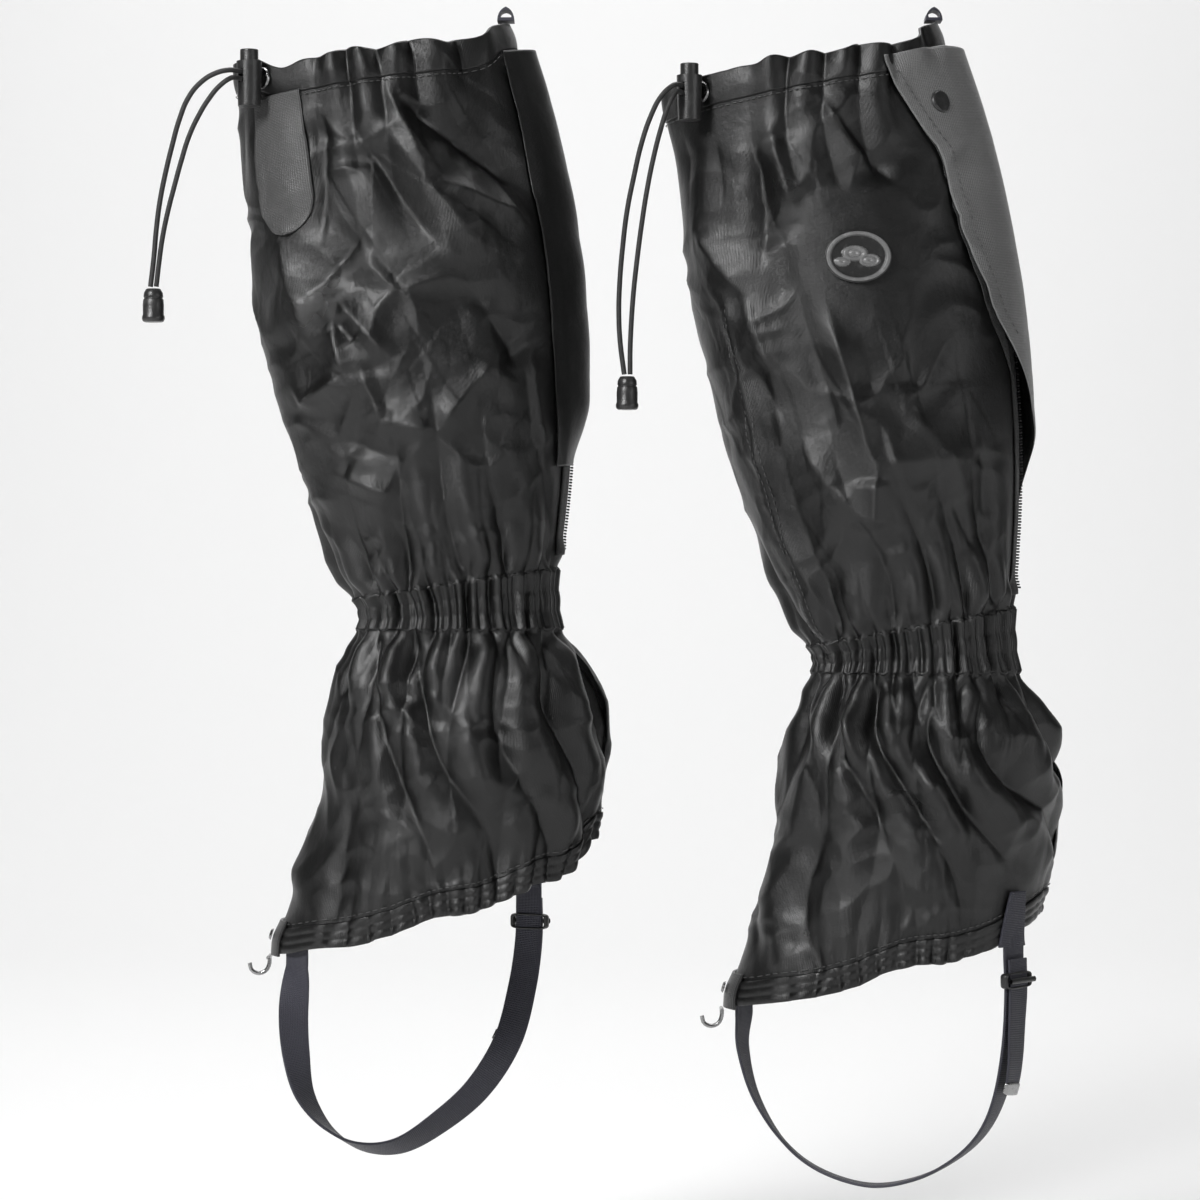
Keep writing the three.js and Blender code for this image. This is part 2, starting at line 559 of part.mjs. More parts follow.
function addStrap(gaiter) {
  const half = strapWall / 2;
  const outward = gaiter.tailSide;
  const tail = [half + gap, half + gap + strapWall].map((rise) => rise * outward).sort((a, b) => a - b);
  addPiece(gaiter, 'instep_strap',
    ribbon(strapFrames(gaiter, 0, 1, 30), strapWidth / 2, -half, half), webbing());
  addPiece(gaiter, 'strap_tail',
    ribbon(strapFrames(gaiter, gaiter.tailFrom, 0.96, 8), strapWidth / 2 - 0.3, ...tail), webbing());

  const buckleWall = 2.2;
  const frameShape = new THREE.Shape();
  const outerX = strapWidth / 2 + 0.6 + buckleWall;
  const outerY = strapWall + gap + 0.6 + buckleWall;
  frameShape.moveTo(-outerX, -outerY);
  frameShape.lineTo(outerX, -outerY);
  frameShape.lineTo(outerX, outerY);
  frameShape.lineTo(-outerX, outerY);
  frameShape.closePath();
  const window = new THREE.Path();
  window.moveTo(-outerX + buckleWall, -outerY + buckleWall);
  window.lineTo(-outerX + buckleWall, outerY - buckleWall);
  window.lineTo(outerX - buckleWall, outerY - buckleWall);
  window.lineTo(outerX - buckleWall, -outerY + buckleWall);
  window.closePath();
  frameShape.holes.push(window);
  const geometry = new THREE.ExtrudeGeometry(frameShape, { depth: 4, bevelEnabled: false });
  geometry.translate(0, 0, -2);
  const [frame] = strapFrames(gaiter, 0.93, 1, 1);
  const buckle = addPiece(gaiter, 'strap_buckle', geometry, plastic());
  const out = frame.face.clone().multiplyScalar(outward);
  const side = new THREE.Vector3().crossVectors(out, frame.tangent);
  buckle.quaternion.setFromRotationMatrix(new THREE.Matrix4().makeBasis(side, out, frame.tangent));
  buckle.position.copy(frame.point).addScaledVector(out, (strapWall + gap) / 2);
  addStrapAnchor(gaiter);
}

// The strap's heel end hangs from a tapered tape on the outside of the hem.
function addStrapAnchor(gaiter) {
  const low = hemEdge(gaiter)(gaiter.strapRear) - 3;
  const high = low + 24;
  const edges = (height) => {
    const half = THREE.MathUtils.mapLinear(height, low, high, 8.5, 5);
    return [gaiter.strapRear - half, gaiter.strapRear + half];
  };
  addPiece(gaiter, 'strap_anchor',
    clothPatch(gaiter, low, high, edges, 0.5 + gap + 0.2, strapWall, 4, 4), webbing());
}

// ---- trim on the cloth ----
function addTongue(gaiter) {
  const height = 42;
  const halfAngle = 15;
  const high = gaiter.upperHeight - channelHeight - 4;
  const low = high - height;
  const edges = (at) => {
    const rounding = Math.min(1, ((at - low) / height) * 2.2);
    const half = halfAngle * Math.sqrt(Math.max(0.06, 1 - (1 - rounding) ** 2));
    return [lockAngle - 4 - half, lockAngle - 4 + half];
  };
  addPiece(gaiter, 'lock_tongue', clothPatch(gaiter, low, high, edges, gap + 0.1, 1, 7, 5), greyNylon());
}

function addBadge(gaiter) {
  const oval = new THREE.Shape();
  oval.absellipse(0, 0, 15.5, 12, 0, 2 * Math.PI);
  const plate = new THREE.ExtrudeGeometry(oval, { depth: 0.8, bevelEnabled: false, curveSegments: 12 });
  seatOn(gaiter, addPiece(gaiter, 'badge', plate, plastic()),
    gaiter.upperHeight * 0.66, gaiter.outer * 90, gap);
}

// ---- the pair ----
for (const gaiter of gaiters) {
  gaiter.shape = shape(gaiter);
  const loopRise = 7;             // the loop's top over the rear peak of the top edge
  const loopTop = placeOnAxis(gaiter, gaiter.shape.heel(gaiter.upperHeight + gaiter.peak) - bandWall / 2,
    0, gaiter.upperHeight + gaiter.peak);
  gaiter.ankle = new THREE.Vector3(gaiter.loopX - loopTop.x, 0, -loopRise - loopTop.z);
  addShells(gaiter);
  addHangingLoop(gaiter);
  addZip(gaiter);
  addFlap(gaiter);
  addCordLock(gaiter);
  addCords(gaiter);
  addFrontCorner(gaiter);
  addStrap(gaiter);
  (gaiter.side === 'left' ? addBadge : addTongue)(gaiter);
}

export default group;
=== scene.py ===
import json
import math

import bmesh
import bpy
import numpy as np
from mathutils import Matrix, Vector, noise
from mathutils.bvhtree import BVHTree


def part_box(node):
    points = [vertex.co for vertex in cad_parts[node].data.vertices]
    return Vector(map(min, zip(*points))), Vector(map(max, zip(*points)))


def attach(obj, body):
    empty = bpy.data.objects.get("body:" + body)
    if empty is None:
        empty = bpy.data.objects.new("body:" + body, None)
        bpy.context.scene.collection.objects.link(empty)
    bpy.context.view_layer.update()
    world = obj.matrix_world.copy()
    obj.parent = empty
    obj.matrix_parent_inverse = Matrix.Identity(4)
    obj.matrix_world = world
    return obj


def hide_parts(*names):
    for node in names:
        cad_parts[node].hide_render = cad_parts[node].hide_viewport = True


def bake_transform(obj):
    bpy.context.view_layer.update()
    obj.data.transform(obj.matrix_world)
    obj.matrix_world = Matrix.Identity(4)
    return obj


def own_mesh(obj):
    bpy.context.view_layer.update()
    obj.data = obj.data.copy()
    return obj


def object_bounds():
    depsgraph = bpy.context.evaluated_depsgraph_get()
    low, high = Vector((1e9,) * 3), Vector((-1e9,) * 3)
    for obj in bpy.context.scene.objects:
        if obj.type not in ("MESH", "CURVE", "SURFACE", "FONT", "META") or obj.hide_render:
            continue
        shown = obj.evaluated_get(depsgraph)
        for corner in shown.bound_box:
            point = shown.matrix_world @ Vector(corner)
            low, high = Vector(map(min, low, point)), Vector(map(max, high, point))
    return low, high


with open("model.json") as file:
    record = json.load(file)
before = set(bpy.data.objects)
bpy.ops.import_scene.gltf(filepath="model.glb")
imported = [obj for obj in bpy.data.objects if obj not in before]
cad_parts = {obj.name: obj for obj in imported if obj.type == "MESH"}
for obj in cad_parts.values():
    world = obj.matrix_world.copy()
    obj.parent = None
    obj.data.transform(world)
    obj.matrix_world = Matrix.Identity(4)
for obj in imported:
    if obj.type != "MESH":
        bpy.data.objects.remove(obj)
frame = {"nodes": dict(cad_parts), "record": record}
cadLow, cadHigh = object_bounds()
sides = ("right", "left")
print("frame loaded")


# camera
cameraSettings = {"lens": 100, "sensor": 36, "viewHeight": 0.576, "centre": (0.0456, 0.0, -0.284)}


def addObject(name, data):
    added = bpy.data.objects.new(name, data)
    bpy.context.scene.collection.objects.link(added)
    return added


def addCamera():
    data = bpy.data.cameras.new("camera")
    data.lens = cameraSettings["lens"]
    data.sensor_width = cameraSettings["sensor"]
    camera = addObject("camera", data)
    away = cameraSettings["viewHeight"] * cameraSettings["lens"] / cameraSettings["sensor"]
    centre = Vector(cameraSettings["centre"])
    camera.location = centre - Vector((0, away, 0))
    camera.rotation_euler = (math.radians(90), 0, 0)
    bpy.context.scene.camera = camera


addCamera()


# shared helpers
def mix(a, b, share):
    return a + (b - a) * share


def smooth(low, high, value):
    share = min(1.0, max(0.0, (value - low) / (high - low)))
    return share * share * (3 - 2 * share)


def bump(value, centre, reach):
    away = abs(value - centre) / reach
    return 0.0 if away > 1 else 0.5 + 0.5 * math.cos(away * math.pi)


def wrapDegrees(degrees):
    return (degrees + 180) % 360 - 180


def catmull(a, b, c, d, share):
    slope, bend, rest = c - a, 2 * a - 5 * b + 4 * c - d, 3 * b - a - 3 * c + d
    return 0.5 * (2 * b + slope * share + bend * share ** 2 + rest * share ** 3)


def jointOf(name):
    return next(j for j in frame["record"]["behaviour"]["joints"] if j["name"] == name)


def meshObject(name, bm, material, shade=True):
    mesh = bpy.data.meshes.new(name)
    bm.to_mesh(mesh)
    bm.free()
    for polygon in mesh.polygons:
        polygon.use_smooth = shade
    mesh.materials.append(material)
    return addObject(name, mesh)


def tellKit(piece, body, slot, nodes):  # a piece without a body is left unparented
    if body:
        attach(piece, body)
    if nodes:
        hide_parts(*nodes)
    return piece


def finishPiece(name, bm, material, body, slot, nodes=(), shade=True):
    return tellKit(meshObject(name, bm, material, shade), body, slot, nodes)


def thicken(piece, wall, offset=-1.0):
    solid = piece.modifiers.new("wall", "SOLIDIFY")
    solid.thickness = wall
    solid.offset = offset


def roundEdges(piece, width, segments=2, limit=40):
    bevel = piece.modifiers.new("edges", "BEVEL")
    bevel.width = width
    bevel.segments = segments
    bevel.limit_method = "ANGLE"
    bevel.angle_limit = math.radians(limit)


# materials
def newGroup(name, colours, numbers):
    group = bpy.data.node_groups.new(name, "ShaderNodeTree")
    sockets = {"INPUT": (colours, numbers), "OUTPUT": (("Colour",), ("Roughness", "Height"))}
    for way, labels in sockets.items():
        for kind, names in zip(("NodeSocketColor", "NodeSocketFloat"), labels):
            for label in names:
                group.interface.new_socket(label, in_out=way, socket_type=kind)
    return group, group.nodes.new("NodeGroupInput"), group.nodes.new("NodeGroupOutput")


def addNode(tree, kind, values=(), **settings):
    node = tree.nodes.new(kind)
    for key, value in settings.items():
        setattr(node, key, value)
    for key, value in dict(values).items():
        node.inputs[key].default_value = value
    return node


# woven ground, slow colour drift, fine crumple and rubbed spots
def clothGroup():
    tree, given, out = newGroup("clothSurface", ("Colour", "Pale"),
                                ("Threads", "Weave depth", "Crumple", "Rough"))
    link = tree.links.new
    uv = addNode(tree, "ShaderNodeUVMap", uv_map="cloth")
    place = addNode(tree, "ShaderNodeTexCoord")
    warp = addNode(tree, "ShaderNodeTexWave", {"Distortion": 0.4, "Detail": 1.0}, bands_direction="X")
    weft = addNode(tree, "ShaderNodeTexWave", {"Distortion": 0.4, "Detail": 1.0}, bands_direction="Y")
    for wave in (warp, weft):
        link(uv.outputs["UV"], wave.inputs["Vector"])
        link(given.outputs["Threads"], wave.inputs["Scale"])
    weave = addNode(tree, "ShaderNodeMath", operation="MULTIPLY")
    link(warp.outputs["Fac"], weave.inputs[0])
    link(weft.outputs["Fac"], weave.inputs[1])
    drift = addNode(tree, "ShaderNodeTexNoise", {"Scale": 14.0, "Detail": 4.0, "Roughness": 0.6})
    crumple = addNode(tree, "ShaderNodeTexNoise", {"Scale": 90.0, "Detail": 5.0, "Roughness": 0.65})
    speck = addNode(tree, "ShaderNodeTexNoise", {"Scale": 1400.0, "Detail": 1.0})
    for texture in (drift, crumple, speck):
        link(place.outputs["Object"], texture.inputs["Vector"])
    rubbed = addNode(tree, "ShaderNodeMapRange", {"From Min": 0.5, "From Max": 0.78, "To Max": 0.55})
    link(drift.outputs["Fac"], rubbed.inputs["Value"])
    fleck = addNode(tree, "ShaderNodeMapRange", {"From Min": 0.45, "From Max": 0.75, "To Max": 0.25})
    link(speck.outputs["Fac"], fleck.inputs["Value"])
    paleness = addNode(tree, "ShaderNodeMath", operation="ADD", use_clamp=True)
    link(rubbed.outputs["Result"], paleness.inputs[0])
    link(fleck.outputs["Result"], paleness.inputs[1])
    colour = addNode(tree, "ShaderNodeMix", data_type="RGBA")
    link(paleness.outputs[0], colour.inputs[0])
    link(given.outputs["Colour"], colour.inputs[6])
    link(given.outputs["Pale"], colour.inputs[7])
    link(colour.outputs[2], out.inputs["Colour"])
    roughness = addNode(tree, "ShaderNodeMath", {1: 0.22}, operation="MULTIPLY_ADD")
    link(drift.outputs["Fac"], roughness.inputs[0])
    link(given.outputs["Rough"], roughness.inputs[2])
    link(roughness.outputs[0], out.inputs["Roughness"])
    deepWeave = addNode(tree, "ShaderNodeMath", operation="MULTIPLY")
    link(weave.outputs[0], deepWeave.inputs[0])
    link(given.outputs["Weave depth"], deepWeave.inputs[1])
    height = addNode(tree, "ShaderNodeMath", operation="MULTIPLY_ADD")
    link(crumple.outputs["Fac"], height.inputs[0])
    link(given.outputs["Crumple"], height.inputs[1])
    link(deepWeave.outputs[0], height.inputs[2])
    link(height.outputs[0], out.inputs["Height"])
    return tree


# moulded or plated surface: fine grain, faint scuffs
def hardGroup():
    tree, given, out = newGroup("hardSurface", ("Colour", "Worn"), ("Grain", "Rough", "Scuffs"))
    link = tree.links.new
    place = addNode(tree, "ShaderNodeTexCoord")
    grain = addNode(tree, "ShaderNodeTexNoise", {"Detail": 3.0})
    link(place.outputs["Object"], grain.inputs["Vector"])
    link(given.outputs["Grain"], grain.inputs["Scale"])
    scuff = addNode(tree, "ShaderNodeTexNoise", {"Scale": 260.0, "Detail": 6.0, "Roughness": 0.7})
    link(place.outputs["Object"], scuff.inputs["Vector"])
    marks = addNode(tree, "ShaderNodeMapRange", {"From Min": 0.52, "From Max": 0.7})
    link(scuff.outputs["Fac"], marks.inputs["Value"])
    worn = addNode(tree, "ShaderNodeMath", operation="MULTIPLY")
    link(marks.outputs["Result"], worn.inputs[0])
    link(given.outputs["Scuffs"], worn.inputs[1])
    colour = addNode(tree, "ShaderNodeMix", data_type="RGBA")
    link(worn.outputs[0], colour.inputs[0])
    link(given.outputs["Colour"], colour.inputs[6])
    link(given.outputs["Worn"], colour.inputs[7])
    link(colour.outputs[2], out.inputs["Colour"])
    roughness = addNode(tree, "ShaderNodeMath", {1: 0.25}, operation="MULTIPLY_ADD")
    link(worn.outputs[0], roughness.inputs[0])
    link(given.outputs["Rough"], roughness.inputs[2])
    link(roughness.outputs[0], out.inputs["Roughness"])
    link(grain.outputs["Fac"], out.inputs["Height"])
    return tree


surfaceGroups = {"cloth": clothGroup(), "hard": hardGroup()}


def surface(name, kind, values, depth, metal=0.0, sheen=0.0, coat=0.0, specular=0.5):
    material = bpy.data.materials.new(name)
    material.use_nodes = True
    tree = material.node_tree
    shader = tree.nodes["Principled BSDF"]
    shader.inputs["Metallic"].default_value = metal
    shader.inputs["Sheen Weight"].default_value = sheen
    shader.inputs["Sheen Roughness"].default_value = 0.4
    shader.inputs["Coat Weight"].default_value = coat
    shader.inputs["Coat Roughness"].default_value = 0.3
    shader.inputs["Specular IOR Level"].default_value = specular
    group = addNode(tree, "ShaderNodeGroup", node_tree=surfaceGroups[kind])
    for key, value in values.items():
        group.inputs[key].default_value = value
    tree.links.new(group.outputs["Colour"], shader.inputs["Base Color"])
    tree.links.new(group.outputs["Roughness"], shader.inputs["Roughness"])
    relief = addNode(tree, "ShaderNodeBump", {"Strength": 1.0, "Distance": depth})
    tree.links.new(group.outputs["Height"], relief.inputs["Height"])
    tree.links.new(relief.outputs["Normal"], shader.inputs["Normal"])
    return material


def grey(value, blue=0.0):
    return (value, value, value * (1 + blue), 1)


nylon = surface("nylon", "cloth", {"Colour": grey(0.0025), "Pale": grey(0.009), "Threads": 650.0,
                "Weave depth": 0.12, "Crumple": 0.8, "Rough": 0.21}, 0.0006, specular=0.5)
# lighter grey for the storm flap: painted sheen on the black nylon
sheenPaintedNylon = surface("sheenPaintedNylon", "cloth", {"Colour": grey(0.12), "Pale": grey(0.24), "Threads": 420.0,
                    "Weave depth": 0.35, "Crumple": 0.9, "Rough": 0.26}, 0.0006, sheen=0.1, specular=0.8)
softGrey = surface("softGrey", "cloth", {"Colour": grey(0.04), "Pale": grey(0.10), "Threads": 420.0,
                   "Weave depth": 0.35, "Crumple": 0.9, "Rough": 0.28}, 0.0006, specular=0.7)
elasticCloth = surface("elasticCloth", "cloth", {"Colour": grey(0.012), "Pale": grey(0.028),
                       "Threads": 500.0, "Weave depth": 0.6, "Crumple": 0.5, "Rough": 0.5}, 0.0005,
                       sheen=0.1)
webbing = surface("webbing", "cloth", {"Colour": grey(0.022, 0.5), "Pale": grey(0.05, 0.4),
                  "Threads": 380.0, "Weave depth": 1.0, "Crumple": 0.2, "Rough": 0.42}, 0.0003, sheen=0.1)
glossyTape = surface("glossyTape", "cloth", {"Colour": grey(0.012), "Pale": grey(0.05), "Threads": 380.0,
                     "Weave depth": 0.6, "Crumple": 0.2, "Rough": 0.22}, 0.0003, coat=0.15)
cordCloth = surface("cordCloth", "hard", {"Colour": grey(0.012), "Worn": grey(0.05), "Grain": 1800.0,
                    "Rough": 0.55, "Scuffs": 0.5}, 0.0003, sheen=0.1)
threadMaterial = surface("thread", "hard", {"Colour": grey(0.05), "Worn": grey(0.12), "Grain": 2500.0,
                         "Rough": 0.5, "Scuffs": 0.4}, 0.0001)
fuzzy = surface("hookAndLoop", "hard", {"Colour": grey(0.012), "Worn": grey(0.04), "Grain": 2200.0,
                "Rough": 0.85, "Scuffs": 0.7}, 0.0009, sheen=0.3)
plastic = surface("plastic", "hard", {"Colour": grey(0.02), "Worn": grey(0.07), "Grain": 1500.0,
                  "Rough": 0.32, "Scuffs": 0.4}, 0.00012)
badgeRubber = surface("badgeRubber", "hard", {"Colour": grey(0.14), "Worn": grey(0.28), "Grain": 1300.0,
                      "Rough": 0.35, "Scuffs": 0.5}, 0.00012)
nickel = surface("nickel", "hard", {"Colour": grey(0.32), "Worn": grey(0.16), "Grain": 1200.0,
                 "Rough": 0.24, "Scuffs": 0.5}, 0.0001, metal=1.0)
blackMetal = surface("blackMetal", "hard", {"Colour": grey(0.05), "Worn": grey(0.2), "Grain": 1200.0,
                     "Rough": 0.3, "Scuffs": 0.4}, 0.0001, metal=1.0)
print("materials made")


# each leg's shape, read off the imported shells
legSettings = {"heightStep": 0.004, "turnStep": 11.25, "bandHalf": 0.011, "inside": 0.0015,
               "probe": 0.14, "smallest": 0.025, "usual": 0.05}


def nodeVerts(name):
    return [v.co.copy() for v in frame["nodes"][name].data.vertices]


class Leg:
    def __init__(self, side):
        self.side = side
        self.body = side + "_gaiter"
        self.outer = 1 if side == "right" else -1  # towards +Y or -Y
        low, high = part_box(side + "_ankle_elastic")
        self.ankle = Vector(((low.x + high.x) / 2, 0, (low.z + high.z) / 2))
        low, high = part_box(side + "_cord_channel")
        top = Vector(((low.x + high.x) / 2, 0, (low.z + high.z) / 2))
        self.lean = math.atan2(self.ankle.x - top.x, top.z - self.ankle.z)
        self.tree = self.shellTree()
        self.topEdge = self.edge("cord_channel", max)
        self.hemEdge = self.easeSides(self.edge("hem_elastic", min))
        self.measure()

    def node(self, name):
        return self.side + "_" + name

    def shellTree(self):
        bm = bmesh.new()
        for name in ("calf_shell", "cord_channel", "ankle_elastic", "foot_shell", "hem_elastic"):
            bm.from_mesh(frame["nodes"][self.node(name)].data)
        bmesh.ops.triangulate(bm, faces=bm.faces)
        tree = BVHTree.FromBMesh(bm)
        bm.free()
        return tree

    def turnAt(self, height):
        half = legSettings["bandHalf"]
        return self.lean * min(1.0, max(0.0, (height + half) / (2 * half)))

    def axisPoint(self, height):
        half = legSettings["bandHalf"]
        turn = self.turnAt(height)
        x, z = 0.0, height
        if height > -half:
            bent = min(height, half) + half
            x = -math.sin(turn / 2) * bent
            z = -half + math.cos(turn / 2) * bent
        if height > half:
            x -= math.sin(self.lean) * (height - half)
            z += math.cos(self.lean) * (height - half)
        return self.ankle + Vector((x, 0, z))

    def outward(self, height, degrees):
        turn = self.turnAt(height)
        angle = math.radians(degrees)
        along = math.cos(angle)
        return Vector((along * math.cos(turn), math.sin(angle), along * math.sin(turn)))

    def legCoords(self, point):  # height along the axis and turn from the heel
        rise = point - self.ankle
        height = rise.z
        if height > 0:
            height = -rise.x * math.sin(self.lean) + rise.z * math.cos(self.lean)
        away = point - self.axisPoint(height)
        turn = self.turnAt(height)
        along = away.x * math.cos(turn) + away.z * math.sin(turn)
        return height, math.degrees(math.atan2(away.y, along)), math.hypot(along, away.y)

    def edge(self, name, pick):
        coords = [self.legCoords(v) for v in nodeVerts(self.node(name))]
        within = legSettings["turnStep"] * 0.6
        heights = []
        for degrees in self.turns():
            near = [height for height, turn, _ in coords if abs(wrapDegrees(turn - degrees)) < within]
            heights.append(pick(near))
        return np.array(heights)

    def easeSides(self, ring):  # levels the corner at each side, and leaves toe and heel as they are
        turns = np.radians(self.turns())
        for _ in range(3):
            eased = (np.roll(ring, 1) + ring * 2 + np.roll(ring, -1)) / 4
            ring = ring + (eased - ring) * np.sin(turns) ** 4
        return ring

    def turns(self):
        return np.arange(0, 360, legSettings["turnStep"])

    def edgeAt(self, ring, degrees):  # a smooth closed curve through the ring's values
        place = (degrees % 360) / legSettings["turnStep"]
        index = int(place)
        count = len(ring)
        return float(catmull(*[ring[(index + step) % count] for step in (-1, 0, 1, 2)], place - index))

    def measure(self):
        step = legSettings["heightStep"]
        self.low = float(self.hemEdge.min()) - step
        self.high = float(self.topEdge.max()) + step
        rows = int((self.high - self.low) / step) + 2
        self.radii = np.zeros((rows, len(self.turns())))
        for column, degrees in enumerate(self.turns()):
            bottom = self.edgeAt(self.hemEdge, degrees) + legSettings["inside"]
            top = self.edgeAt(self.topEdge, degrees) - legSettings["inside"]
            for row in range(rows):
                height = min(top, max(bottom, self.low + row * step))
                self.radii[row, column] = self.probe(height, degrees)
        blurred = self.radii.copy()
        blurred[1:-1] = (self.radii[:-2] + 2 * self.radii[1:-1] + self.radii[2:]) / 4
        self.radii = blurred

    def probe(self, height, degrees):
        for nudge in (0, 0.0012, -0.0012, 0.0024, -0.0024):
            out = self.outward(height + nudge, degrees)
            axis = self.axisPoint(height + nudge)
            hit = self.tree.ray_cast(axis + out * legSettings["probe"], -out)[0]
            if hit is not None:
                radius = (hit - axis).dot(out)
                if radius > legSettings["smallest"]:
                    return radius
        return legSettings["usual"]

    def radius(self, height, degrees):
        step = legSettings["heightStep"]
        place = min(len(self.radii) - 1.001, max(0.0, (height - self.low) / step))
        row = int(place)
        below, above = [self.edgeAt(ring, degrees) for ring in self.radii[row:row + 2]]
        return mix(below, above, place - row)

    def skin(self, height, degrees, lift=0.0):
        away = self.radius(height, degrees) + lift
        return self.axisPoint(height) + self.outward(height, degrees) * away

    def normal(self, height, degrees):
        up = self.skin(height + 0.002, degrees) - self.skin(height - 0.002, degrees)
        round = self.skin(height, degrees + 2) - self.skin(height, degrees - 2)
        return round.cross(up).normalized()


legs = {side: Leg(side) for side in sides}
print("legs measured")


# free cords: each strand's given route below the lock
cordSettings = {"diameter": 0.0024, "pitch": 0.0034, "starts": (2, 5.5, 9.5, 13.5, 19), "lockStandOff": 9.5}
strandRoutes = {
    "right_outer_strand": [
        (-127.5, -46.5, -37), (-133.5, -47.3, -38.6), (-140, -47, -42.5), (-146, -46.5, -49.5),
        (-150.5, -46, -60), (-154, -45, -72), (-157.3, -44, -85), (-160, -43, -98),
        (-161.8, -42, -111), (-163, -41.5, -124), (-164.6, -41.3, -137.5),
    ],
    "right_inner_strand": [
        (-126.5, -46.8, -40.8), (-131.5, -47.6, -44.5), (-136.5, -47.6, -50.5),
        (-141.5, -47, -58.5), (-146, -46.4, -68), (-149.6, -45.6, -79), (-153, -44.8, -91),
        (-156.2, -44, -103), (-158.8, -43, -115), (-160.6, -42, -127), (-161.9, -41.3, -137.5),
    ],
    "left_outer_strand": [
        (79, -46.5, -44.5), (74, -47.2, -49.5), (69.5, -46.8, -58), (65, -46, -71),
        (61.5, -45, -86), (58.3, -44, -102), (56.2, -43, -119), (54.8, -42, -136),
        (54.4, -41.4, -150), (55, -41.3, -163), (56.95, -41.3, -178.5),
    ],
    "left_inner_strand": [
        (80.2, -46.8, -48.2), (77, -47.6, -55), (73.8, -47.4, -65), (70.5, -46.8, -78),
        (67.5, -46, -93), (65, -45, -109), (62.8, -44.2, -126), (61.2, -43.4, -141),
        (60.2, -42.6, -155), (59.7, -41.8, -167), (59.65, -41.3, -178.5),
    ],
}


def curvePiece(name, points, diameter, material, body, slot, nodes):
    curve = bpy.data.curves.new(name, "CURVE")
    curve.dimensions = "3D"
    curve.bevel_depth = diameter / 2
    curve.bevel_resolution = 4
    curve.resolution_u = 8
    curve.use_fill_caps = True
    spline = curve.splines.new("BEZIER")
    spline.bezier_points.add(len(points) - 1)
    for knot, point in zip(spline.bezier_points, points):
        knot.co = point
        knot.handle_left_type = knot.handle_right_type = "AUTO"
    curve.materials.append(material)
    return tellKit(addObject(name, curve), body, slot, nodes)


def routeLength(points):
    return sum((b - a).length for a, b in zip(points, points[1:]))


def lockCentre(side):
    low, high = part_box(side + "_cord_lock_body")
    eyeletLow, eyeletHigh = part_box(side + "_eyelet")
    return Vector(((low.x + high.x) / 2, (low.y + high.y) / 2, (eyeletLow.z + eyeletHigh.z) / 2))


def lockOut(side):
    return Vector(jointOf(side + "_cord_lock_slides")["axis"]).normalized()


# a shaped end that grips both strands
def addCordEnd(side):
    low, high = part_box(side + "_cord_end")
    bm = bmesh.new()
    centre = Vector(((low.x + high.x) / 2, (low.y + high.y) / 2, 0))
    profile = [(0, -16), (4.3, -16), (4.9, -15.6), (5.3, -14.6), (5.3, -13.6), (4.9, -12.6), (4.95, -8),
               (4.7, -5.4), (4.3, -5.2), (4.3, -4.6), (4.6, -4.4), (4.4, -2.4), (3.3, -0.5), (0, -0.5)]
    verts = [bm.verts.new((x / 1000, 0, z / 1000 + high.z + 0.0003)) for x, z in profile]
    edges = [bm.edges.new(pair) for pair in zip(verts, verts[1:])]
    bmesh.ops.spin(bm, geom=verts + edges, cent=(0, 0, 0), axis=(0, 0, 1), angle=math.tau,
                   steps=40, use_merge=True)
    bmesh.ops.remove_doubles(bm, verts=bm.verts, dist=1e-6)
    bmesh.ops.recalc_face_normals(bm, faces=bm.faces)
    bmesh.ops.translate(bm, verts=bm.verts, vec=centre)
    end = finishPiece(side + "CordEnd", bm, plastic, side + "_gaiter", "plastic", [side + "_cord_end"])
    roundEdges(end, 0.0003)
    return end


def addCords(side):
    end = addCordEnd(side)
    out = lockOut(side)
    foot = lockCentre(side) - out * cordSettings["lockStandOff"] / 1000
    for label, rise in (("outer_strand", 1), ("inner_strand", -1)):
        name = side + "_" + label
        lift = Vector((0, 0, rise * cordSettings["pitch"] / 2))
        points = [foot + out * distance / 1000 + lift for distance in cordSettings["starts"]]
        points += [Vector(point) / 1000 for point in strandRoutes[name]]
        strand = curvePiece(side + ("OuterStrand" if rise > 0 else "InnerStrand"), points,
                            cordSettings["diameter"], cordCloth, side + "_gaiter", "cord", [name])
        tuple(points[0])
        round(routeLength(points), 4)


for side in sides:
    addCords(side)
print("cords laid")


# folds shared by everything sewn to one leg
foldSettings = {
    "mmPerDegree": 0.9, "anklePleats": 27, "ankleDepth": 0.0022, "ankleReach": 0.020, "shirring": 44,
    "shirringDepth": 0.0013, "gathers": 13, "gatherDepth": 0.0042, "gatherReach": 0.046, "topPleats": 17,
    "topDepth": 0.0034, "topReach": 0.026, "hemPleats": 38, "hemDepth": 0.0018, "hemReach": 0.014,
    "footFolds": 10, "footDepth": 0.0042, "crumple": 0.0054, "creaseGain": 1.35,
}
